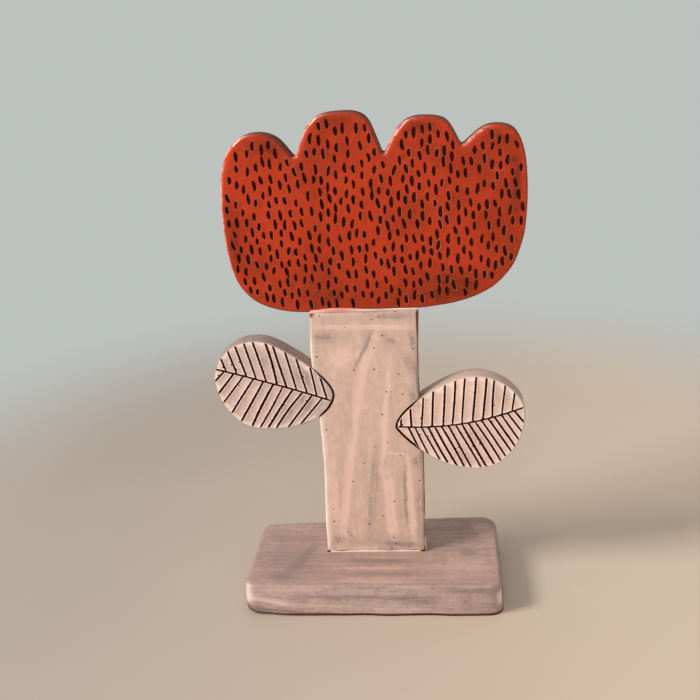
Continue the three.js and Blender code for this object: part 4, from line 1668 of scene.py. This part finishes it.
@dataclass
class Base:
    """The base slab: a trapezoid with soft corners, its bottom edge bare and a little lifted, with a painted
    contact shadow at the floor.

    A span is a row of places across the base, and the field after it has the values there. The worn band
    of an upright edge, partly a painted highlight, is (rightwards, backwards, reach, strength).
    """

    finish: PaleGlaze
    front_taper: float = 6.0
    corner_round: tuple = (5.5, 6.0, 10.0, 6.0)
    corner_pull: float = 0.55
    top_round: float = 2.0
    front_round: float = 0.8
    front_ease: float = 6.0
    back_round: float = 0.9
    back_ease: tuple = (11.0, 7.0)
    back_bulge: float = 0.6
    bottom_round: float = 0.55
    lifted_corner: float = 3.6
    lifted_reach: float = 16.0
    front_bulge: float = 0.3
    belly: float = 0.4
    flare: float = 1.0
    curve_steps: int = 80
    side_steps: int = 24
    outline_step: float = 1.1
    grid_step: float = 0.9
    pit_count: int = 3
    pit_margin: float = 5.0
    pit_radius: tuple = (0.15, 0.3)
    pit_depth: float = 0.45
    bare_height: float = 1.0
    bare_least: float = 0.25
    bare_span: tuple = (-40.0, 20.0)
    bare_front: tuple = (1.2, -0.5)
    bare_front_reach: float = 12.0
    bare_corner: float = 4.0
    bare_corner_reach: float = 4.5
    contact_shadow_height: float = 1.6
    contact_shadow_most: float = 0.85
    edge_depth: float = 1.1
    front_depth: float = 4.0
    top_sway: float = 0.3
    front_sway: float = 0.25
    film_span: tuple = (-50.0, -20.0, 15.0, 55.0)
    film_level: tuple = (0.75, 1.0, 1.0, 0.5)
    # Worn bands of the two front corners, partly a painted highlight.
    left_wear_and_highlight: tuple = (0.6, 1.0, 2.6, 0.26)
    left_wear_and_highlight_rise: tuple = (6.0, 9.0)
    right_wear_and_highlight: tuple = (-0.3, 1.6, 1.9, 0.5)
    right_wear_and_highlight_middle: float = 9.0
    right_wear_and_highlight_spread: float = 3.6
    top_strokes: tuple = (
        (-34.0, 6.0, -41.0, -14.0, 2.2, -0.5), (-40.0, -11.0, -46.0, -21.0, 3.4, -0.35),
        (-56.0, -21.5, -41.0, -24.0, 3.4, -0.5), (-62.0, 14.0, -30.0, 12.0, 3.6, -0.3),
        (-60.0, -5.0, -28.0, -8.0, 11.0, -0.3), (-21.0, -15.5, 20.0, -16.0, 1.5, 0.35),
        (-20.0, -26.0, 20.0, -28.0, 2.4, 0.35), (-15.0, -21.0, 26.0, -22.0, 1.6, -0.2),
        (-15.0, -8.5, 18.0, -9.5, 2.0, -0.5), (46.0, 1.5, 52.5, -5.0, 3.4, -0.35),
        # The second stroke on the next row lightens the back right corner: painted light where the stem's
        # shadow thins out.
        (35.0, -13.0, 60.0, -14.0, 9.0, 0.3), (56.0, 28.0, 62.0, 12.0, 5.0, 0.5),
    )
    front_strokes: tuple = (
        (-66.5, 11.4, -41.0, 6.6, 1.5, 0.9), (-42.0, 6.6, -7.0, 5.4, 0.8, 0.35),
        (-60.7, 15.2, -27.0, 15.1, 1.4, 0.25), (-41.0, 11.4, 31.0, 10.4, 1.4, -0.42),
        (-27.0, 17.0, 8.0, 17.2, 0.7, -0.5), (8.4, 16.6, 29.0, 16.3, 0.6, 0.4),
        (-7.6, 5.4, 35.5, 4.3, 1.6, 0.22), (-63.8, 4.3, -28.0, 1.0, 1.3, -0.5),
        (36.0, 15.5, 64.0, 13.8, 1.5, -0.4), (-64.5, 8.0, -64.5, 16.0, 2.4, 0.15),
        (-67.0, 5.2, -57.0, 4.4, 2.0, -0.6), (15.0, 8.0, 36.0, 7.6, 3.6, -0.3),
    )

    def box(self) -> tuple[Array, Array]:
        """Low and high corner of the base in millimetres."""
        low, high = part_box("base_slab")
        return np.array(low) / MM, np.array(high) / MM

    def outline(self) -> Array:
        """Plan outline: four corners joined by straight sides, each corner a cubic curve.

        Returns:
            Points at even distances.
        """
        low, high = self.box()
        front, back = low[1] - self.front_bulge, high[1] + self.back_bulge
        corners = [(low[0], front), (high[0], front), (high[0], back), (low[0], back - self.front_taper)]
        soft = np.array(self.corner_round)[:, None]
        loop = rounded_loop(np.array(corners), soft, self.corner_pull, self.curve_steps)
        return resample(loop, self.outline_step)

    def build(self) -> None:
        """Builds the base, with a rounder bottom edge at the front left corner, paints and dresses it."""
        low, high = self.box()
        outline = self.outline()
        from_corner = np.hypot(outline[:, 0] - low[0], (outline[:, 1] - low[1]) * 0.6)
        bottom = self.bottom_round + self.lifted_corner * bell(from_corner, self.lifted_reach)
        draw = np.random.default_rng(41)
        places = scatter(draw, outline, self.pit_margin, self.pit_count)
        rows = (low[1], low[1] + self.front_ease, *(high[1] - ease for ease in self.back_ease))
        rounds = (self.front_round, self.top_round, self.top_round, self.back_round)
        slab = ClaySlab(
            "base_brushed", outline, high[2] - low[2], (0.0, 0.0, high[2]),
            np.interp(outline[:, 1], rows, rounds), bottom,
            [pinholes(draw, places, self.pit_radius, self.pit_depth)],
            facing=Facing.FLAT, front_swell=Ripple(42, 34.0, 0.12), back_swell=Ripple(43, 40.0, 0.0),
            side_ripple=Ripple(44, 17.0, 0.22), side_steps=self.side_steps, grid_step=self.grid_step,
            belly=self.belly, flare=self.flare,
        )
        piece = slab.build()
        self.paint_foot(piece)
        self.paint_glaze(piece)
        dress(piece, self.finish.material(), "pale_glaze", "base_slab")

    def paint_foot(self, piece: Piece) -> None:
        """Paints bare clay up to a wavy height, higher at the front left, and a painted contact shadow at the
        floor.

        Args:
            piece: The piece.
        """
        low, _ = self.box()
        place = points_of(piece)
        wave = Ripple(45, 22.0, 0.2).at(place[:, :2])
        from_corner = np.hypot(place[:, 0] - low[0], (place[:, 1] - low[1]) * 0.7)
        at_corner = bell(from_corner, self.bare_corner_reach)
        at_front = bell(place[:, 1] - low[1], self.bare_front_reach)
        along_front = np.interp(place[:, 0], self.bare_span, self.bare_front)
        height = self.bare_height + along_front * at_front + wave + self.bare_corner * at_corner
        foot = 1.0 - (place[:, 2] - low[2]) / height.clip(self.bare_least)
        set_paint(piece, "bare", clamp(foot + 0.45) * 0.9)
        # Painted contact shadow: the lowest part of the base darkened like a cut where it meets the floor.
        painted_contact_shadow = (self.contact_shadow_height - place[:, 2]).clip(0.0, self.contact_shadow_most)
        darken(piece, painted_contact_shadow)

    def paint_glaze(self, piece: Piece) -> None:
        """Paints the brush strokes of the top and the front, the front's milky film and the worn edges with
        their painted highlight.

        Args:
            piece: The piece.
        """
        low, high = self.box()
        place = points_of(piece)
        side = clamp((high[2] - place[:, 2]) / self.edge_depth)
        front = side * (place[:, 1] < low[1] + self.front_depth)
        tone = brushed(place[:, :2], self.top_strokes, self.top_sway) * (1.0 - side)
        streaks = brushed(place[:, [0, 2]], self.front_strokes, self.front_sway)
        ends = (place[:, 0] / high[0]) ** 2
        set_paint(piece, "tone", tone + front * (0.09 - 0.16 * ends + streaks))
        film = np.interp(place[:, 0], self.film_span, self.film_level)
        set_paint(piece, "film", front * film * (1.0 - 1.3 * np.abs(streaks)).clip(0.1))
        set_paint(piece, "burr", front * clamp(streaks) * 0.36)
        set_paint(piece, "rim", self.worn_and_lit_edges(place))

    def worn_and_lit_edges(self, place: Array) -> Array:
        """Wear and a painted highlight on the upright front edges, as rim paint: a bell curve round each
        edge.

        The left edge is worn from the top down to above its foot, the right one around its middle.

        Args:
            place: Points of the base in millimetres.

        Returns:
            The paint at each point.
        """
        low, high = self.box()
        heights = (
            np.interp(place[:, 2], self.left_wear_and_highlight_rise, (0.0, 1.0)),
            np.exp(-(((place[:, 2] - self.right_wear_and_highlight_middle) / self.right_wear_and_highlight_spread) ** 4)),
        )
        paint = np.zeros(len(place))
        for edge, wear_and_highlight, worn in zip((low[0], high[0]), (self.left_wear_and_highlight, self.right_wear_and_highlight), heights):
            aside, behind, reach, strength = wear_and_highlight
            away = np.hypot(place[:, 0] - edge - aside, place[:, 1] - low[1] - behind)
            paint += strength * bell(away, reach) * worn
        return paint


@dataclass
class LutedRing:
    """A bead of soft clay or glaze round the stem: a half-round section carried round it in plan."""

    left: float
    right: float
    front: float
    back: float
    level: float
    name: str = "ring"
    corner: float = 1.2
    curve_steps: int = 60
    steps: int = 260
    section_steps: int = 11
    inset: float = 0.25

    @classmethod
    def round_stem(cls, stem: Stem, end: int, level: float) -> "LutedRing":
        """Ring round one end of the stem.

        Args:
            stem: The stem, whose bowed sides the ring follows.
            end: 0 at the foot and -1 at the top.
            level: Height of the joint in millimetres.

        Returns:
            The ring, not yet built.
        """
        upright = stem.upright
        left = upright.centre - upright.half_width - stem.left_bow[end]
        right = upright.centre + upright.half_width + stem.right_bow[end]
        return cls(left, right, upright.front, upright.front + upright.thickness, level)

    def path(self) -> tuple[Array, Array]:
        """Rounded rectangle in plan.

        Returns:
            Points and outward normals, anticlockwise.
        """
        low, high = np.array([self.left, self.front]), np.array([self.right, self.back])
        corners = np.array([low, (high[0], low[1]), high, (low[0], high[1])])
        loop = rounded_loop(corners, self.corner, 1.0, self.curve_steps)
        loop = resample(loop, np.linalg.norm(np.roll(loop, -1, 0) - loop, axis=1).sum() / self.steps)
        return loop, outward(loop)

    def sweep(self, out: Array, up: Array, down: float) -> Piece:
        """Sweeps the section: a hump from (0, -down) out to its full width and back in to (0, up).

        Args:
            out: Width of the section at each point of the path.
            up: Its reach above the level at each point.
            down: Its reach below the level.

        Returns:
            The ring.
        """
        loop, normal = self.path()
        turn = np.linspace(-np.pi / 2, np.pi / 2, self.section_steps)[:, None]
        width = np.concatenate([np.cos(turn) ** 0.7 * out, np.full((2, len(loop)), -self.inset)])
        rise = np.where(np.sin(turn) > 0, up * np.sin(turn), down * np.sin(turn))
        rise = np.concatenate([rise, [up * 0.9, np.full_like(up, -down * 0.9)]])
        flat = loop + normal * width[..., None]
        shell = Shell()
        points = np.dstack([flat, self.level + rise])
        rings = shell.add(points, np.array([0.0, 0.0, 0.3]))
        shell.strip(rings, np.roll(rings, -1, axis=0))
        faces = [block[:, ::-1] for block in shell.faces]
        return make_piece(self.name, np.concatenate(shell.points), faces, np.concatenate(shell.paint))


@dataclass
class FootCoil(LutedRing):
    """The coil pressed into the corner round the stem's foot, thickest on the right and behind."""

    name: str = "foot_coil_pressed"
    finish: PaleGlaze = PaleGlaze("coil_glaze", width=6.0, shift=31.0, clay=srgb(196, 132, 96))
    ripple: Ripple = Ripple(52, 9.0, 0.16)
    below: float = 0.15
    tone: float = 0.5
    spot_reach: float = 1.2

    def build(self) -> None:
        """Builds and dresses the coil, bare on the right and dark at the stem's two front corners."""
        loop, normal = self.path()
        wave = self.ripple.at(loop)
        right, behind = clamp(normal[:, 0]) ** 3, clamp(normal[:, 1])
        out = 0.42 + 0.5 * wave + right + 0.8 * behind
        up = 0.5 + wave + 2.6 * right + 0.6 * behind
        coil = self.sweep(out, up, self.below)
        place = points_of(coil)
        set_paint(coil, "bare", np.clip((place[:, 0] - self.right) * 0.5, 0.0, 0.5))
        set_paint(coil, "tone", np.full(len(place), self.tone))
        spot = np.array([(self.left + 0.3, self.front - 0.3), (self.right - 0.6, self.front - 0.3)])
        away = np.linalg.norm(place[:, None, :2] - spot, axis=-1).min(axis=1)
        set_paint(coil, "carved", bell(away, self.spot_reach) * 0.9)
        dress(coil, self.finish.material(), "pale_glaze", "foot_coil")


@dataclass
class SeamBead(LutedRing):
    """The bead of glaze along the head's seam, swollen and red at the left of the front."""

    name: str = "head_seam_bead"
    finish: PaleGlaze = PaleGlaze(
        "seam_glaze", drip=srgb(226, 146, 128), width=4.0, shift=37.0, smudged=0.3
    )
    ripple: Ripple = Ripple(53, 14.0, 0.08)
    below: float = 0.75
    swell_middle: float = 0.22
    swell_spread: float = 0.26
    red_middle: float = 0.26
    red_spread: float = 0.2

    def from_left(self, points: Array) -> Array:
        """Share of the way from the ring's left side to its right side."""
        return (points[:, 0] - self.left) / (self.right - self.left)

    def build(self) -> None:
        """Builds and dresses the bead."""
        loop, normal = self.path()
        wave = self.ripple.at(loop)
        swell = bell(self.from_left(loop) - self.swell_middle, self.swell_spread) * clamp(-normal[:, 1])
        bead = self.sweep(0.28 + 0.5 * wave + 0.15 * swell, 0.25 + wave + 1.35 * swell, self.below)
        share = self.from_left(points_of(bead))
        set_paint(bead, "drip", bell(share - self.red_middle, self.red_spread) * 0.9)
        dress(bead, self.finish.material(), "pale_glaze", "head_slip_seam")


def stand(data: bpy.types.ID, axes: tuple, place: Array) -> Piece:
    """Puts a camera or a lamp into the scene.

    Args:
        data: The camera or the light.
        axes: Its directions to the right, up and backwards.
        place: Its place in metres.

    Returns:
        The new object.
    """
    turn = np.eye(4)
    turn[:3, :3] = np.column_stack(axes)
    turn[:3, 3] = place
    made = bpy.data.objects.new(data.name, data)
    made.matrix_world = Matrix(turn.tolist())
    bpy.context.scene.collection.objects.link(made)
    return made


@dataclass(frozen=True)
class PhotoCamera:
    """The camera at the photograph's viewing angle: place in millimetres and turns in degrees."""

    place: tuple = (45.95, -417.74, 294.24)
    pitch: float = 20.815
    yaw: float = 6.994
    roll: float = -4.385
    focal_pixels: float = 908.42
    image_pixels: float = 700.0
    sensor: float = 36.0
    clip: tuple = (0.01, 50.0)

    def build(self) -> None:
        """Makes the camera: turned by yaw, tipped down by pitch, then rolled about its own axis."""
        pitch, yaw, roll = np.radians([self.pitch, self.yaw, self.roll])
        level = np.array([-np.sin(yaw), np.cos(yaw), 0.0])
        beside = np.array([np.cos(yaw), np.sin(yaw), 0.0])
        above = np.array([0.0, 0.0, 1.0])
        ahead = np.cos(pitch) * level - np.sin(pitch) * above
        over = np.cos(pitch) * above + np.sin(pitch) * level
        right = np.cos(roll) * beside + np.sin(roll) * over
        up = -np.sin(roll) * beside + np.cos(roll) * over
        data = bpy.data.cameras.new("photo_camera")
        data.sensor_width = self.sensor
        data.lens = self.sensor * self.focal_pixels / self.image_pixels
        data.clip_start, data.clip_end = self.clip
        bpy.context.scene.camera = stand(data, (right, up, -ahead), np.array(self.place) * MM)


@dataclass(frozen=True)
class Lamp:
    """A soft square lamp: its bearing to the left of the front and its height in degrees, then metres.

    The level is how bright it makes a white face turned to it.
    """

    name: str
    left: float
    above: float
    away: float
    size: float
    level: float
    colour: tuple

    def build(self, target: tuple) -> None:
        """Makes the lamp.

        Args:
            target: The place that it is aimed at, in metres.
        """
        left, above = np.radians([self.left, self.above])
        back = np.array([-np.sin(left) * np.cos(above), -np.cos(left) * np.cos(above), np.sin(above)])
        right = np.cross(-back, [0.0, 0.0, 1.0])
        right /= np.linalg.norm(right)
        data = bpy.data.lights.new(self.name, "AREA")
        data.energy = self.level * (np.pi * self.away) ** 2
        data.size, data.color = self.size, self.colour
        stand(data, (right, np.cross(back, right), back), np.array(target) + back * self.away)


@dataclass(frozen=True)
class Studio:
    """A pale floor painted darker to the left and paler to the right, a soft key light from the left, a weak
    fill in front and even light all round.
    """

    # Painted light: the floor's colour runs from darker on the left to paler on the right.
    floor_shaded_left: Colour = srgb(164, 152, 140)
    floor_lit_right: Colour = srgb(218, 196, 172)
    floor_change: tuple = (-240.0, 240.0)
    floor_drift: float = 60.0
    floor_grain: tuple = (160.0, 160.0, 160.0)
    floor_relief: float = 0.1
    floor_core: float = 0.05
    floor_radius: float = 2.0
    floor_rings: int = 24
    floor_sides: int = 96
    floor_fade: tuple = (240.0, 520.0)
    surround: float = 0.46
    surround_colour: Colour = (0.98, 0.99, 1.0, 1.0)
    backdrop: Colour = srgb(189, 194, 191)
    target: tuple = (0.0, 0.0, 0.13)
    lamps: tuple = (
        Lamp("key", 70.0, 37.0, 1.2, 0.36, 0.94, (1.0, 0.96, 0.92)),
        Lamp("fill", -8.0, 24.0, 1.7, 1.0, 0.23, (1.0, 1.0, 1.0)),
    )

    def build(self) -> None:
        """Builds the floor, the lamps and the surrounding light, and sets the plain view transform."""
        self.build_floor()
        for lamp in self.lamps:
            lamp.build(self.target)
        self.build_surround()
        bpy.context.scene.view_settings.view_transform = "Standard"

    def build_floor(self) -> None:
        """Round floor: rings of points at growing radii, joined; painted light makes it paler to the right;
        faded far out.
        """
        radius = np.geomspace(self.floor_core, self.floor_radius, self.floor_rings)[:, None] / MM
        turn = np.linspace(0.0, 2 * np.pi, self.floor_sides, endpoint=False)
        shell = Shell()
        level = np.zeros((self.floor_rings, self.floor_sides))
        points = np.dstack([radius * np.cos(turn), radius * np.sin(turn), level])
        rings = shell.add(points, np.zeros(3))
        shell.strip(rings[:-1], rings[1:])
        faces = [*shell.faces, rings[0][None]]
        floor = make_piece("floor", np.concatenate(shell.points), faces, np.concatenate(shell.paint))
        board = ShaderBoard("pale_floor")
        cloud = board.noise(self.floor_grain, shift=1.0, detail=3.0)
        across = board.axis("X") + self.floor_drift * (cloud - 0.5)
        colour = board.blend(board.smooth(across, *self.floor_change), self.floor_shaded_left, self.floor_lit_right)
        far = board.signal("ShaderNodeVectorMath", "Value", {"operation": "LENGTH"}, {0: board.place})
        fade = board.smooth(far * (1 / MM), *self.floor_fade[::-1])
        board.feed(board.shader.inputs["Alpha"], fade)
        floor.data.materials.append(board.finish(colour, 0.6 + 0.1 * cloud, cloud, self.floor_relief))

    def build_surround(self) -> None:
        """Even surrounding light, seen by the camera and in reflections as a pale backdrop."""
        world = bpy.data.worlds.new("surround")
        world.use_nodes = True
        board = NodeBoard(world.node_tree)
        path = board.node("ShaderNodeLightPath")
        rays = ("Is Camera Ray", "Is Glossy Ray", "Is Transmission Ray")
        camera, glossy, through = (Signal(board, path.outputs[title]) for title in rays)
        even = {"Color": self.surround_colour, "Strength": self.surround}
        light = board.signal("ShaderNodeBackground", 0, None, even)
        seen = board.signal("ShaderNodeBackground", 0, None, {"Color": self.backdrop})
        mix = board.signal("ShaderNodeMixShader", 0, None, {0: camera + glossy + through, 1: light, 2: seen})
        board.node("ShaderNodeOutputWorld", None, {"Surface": mix})
        bpy.context.scene.world = world


def make_leaves(upright: Upright) -> list[Leaf]:
    """The two leaves with their own outlines, midribs and veins.

    An outline half is (half width, fullness at the tip, ease towards the tip, ease outwards, fullness
    at the end). Veins are (count, first foot, last foot, angle near the tip, halfway and near the end).

    Args:
        upright: Where the upright slabs stand.

    Returns:
        The left and the right leaf.
    """
    # Side colours: darker than the faces, partly painted shade; the right leaf's is painted lighter, as
    # painted light on its top edge.
    left_glaze = PaleGlaze(
        "left_leaf_glaze", pale=srgb(231, 196, 179), thin=srgb(200, 172, 159), side=srgb(142, 120, 113),
        width=7.0, shift=14.0,
    )
    right_glaze = PaleGlaze(
        "right_leaf_glaze", pale=srgb(252, 213, 192), thin=srgb(226, 190, 172), side=srgb(188, 161, 147),
        width=7.0, shift=18.0,
    )
    left = Leaf(
        upright, left_glaze, "left_leaf_veined", "left_leaf",
        side=-1.0, lap=9.3, drop=45.7, tilt=13.6, length=62.0, widest=39.5,
        upper=(22.4, 0.41, 0.25, 0.49, 0.62), lower=(25.9, 0.50, 0.54, 0.44, 0.45),
        midrib=(-2.5, 2.6, -0.6),
        upper_veins=(11, 0.05, 0.90, 67.0, 65.5, 61.0), lower_veins=(11, 0.09, 0.92, 62.0, 74.0, 58.0),
        strokes=(
            (-28.0, -39.0, -33.0, -31.0, 2.6, -0.8), (-30.0, -46.0, -33.0, -54.0, 2.8, -0.75),
            (-38.0, -50.0, -44.0, -56.0, 3.0, -0.45), (-46.0, -26.0, -54.0, -24.0, 3.0, -0.35),
            (-62.0, -34.0, -66.0, -42.0, 4.0, 0.3),
        ),
        seed=61,
    )
    right = Leaf(
        upright, right_glaze, "right_leaf_veined", "right_leaf",
        side=1.0, lap=12.0, drop=64.0, tilt=8.5, length=65.1, widest=40.8,
        upper=(21.7, 0.38, 0.37, 0.50, 0.45), lower=(30.3, 0.02, 0.64, 0.55, 0.46),
        midrib=(0.9, 0.3, 4.0),
        upper_veins=(12, 0.04, 0.90, 79.0, 77.0, 75.0), lower_veins=(17, 0.09, 0.92, 74.0, 72.5, 63.0),
        strokes=(
            (30.0, -46.0, 20.0, -54.0, 2.6, -0.55), (44.0, -76.0, 50.0, -84.0, 2.6, -0.6),
            (52.0, -66.0, 58.0, -74.0, 2.6, -0.45), (66.0, -46.0, 70.0, -52.0, 3.0, -0.35),
            (34.0, -70.0, 40.0, -74.0, 3.0, 0.35), (46.0, -44.0, 54.0, -40.0, 4.0, 0.3),
        ),
        seed=62, vein_half=0.46,
    )
    return [left, right]


def dress_slips() -> None:
    """Gives the slip layers between the pieces their finish; they keep their CAD shape."""
    slip = Terracotta().material()
    for name in ("foot_slip_bed", "left_leaf_slip", "right_leaf_slip"):
        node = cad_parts[name]
        node.data.materials.clear()
        node.data.materials.append(slip)
        LOG.info("%s: CAD shape kept", name)


def main() -> None:
    """Builds the camera, the studio and every piece in order."""
    logging.basicConfig(level=logging.INFO, format="%(message)s")
    PhotoCamera().build()
    Studio().build()
    upright = Upright.from_frame()
    leaves = make_leaves(upright)
    stem_glaze = PaleGlaze(
        "stem_glaze", pale=srgb(239, 199, 179), thin=srgb(205, 173, 156), width=7.0, shift=3.0, smudged=0.75
    )
    stem = Stem(upright, stem_glaze, leaves)
    FlowerHead(upright).build()
    stem.build()
    for leaf in leaves:
        leaf.build()
    base_glaze = PaleGlaze(
        "base_glaze", pale=srgb(194, 159, 145), thin=srgb(158, 132, 122), smudge=srgb(130, 113, 105),
        film=srgb(206, 184, 174), clay=srgb(146, 98, 74), stroke=Stroke.ACROSS, width=3.6, shift=22.0,
        specked=0.5,
    )
    Base(base_glaze).build()
    FootCoil.round_stem(stem, 0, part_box("base_slab")[1].z / MM).build()
    SeamBead.round_stem(stem, -1, upright.seam).build()
    dress_slips()


if __name__ == "__main__":
    main()
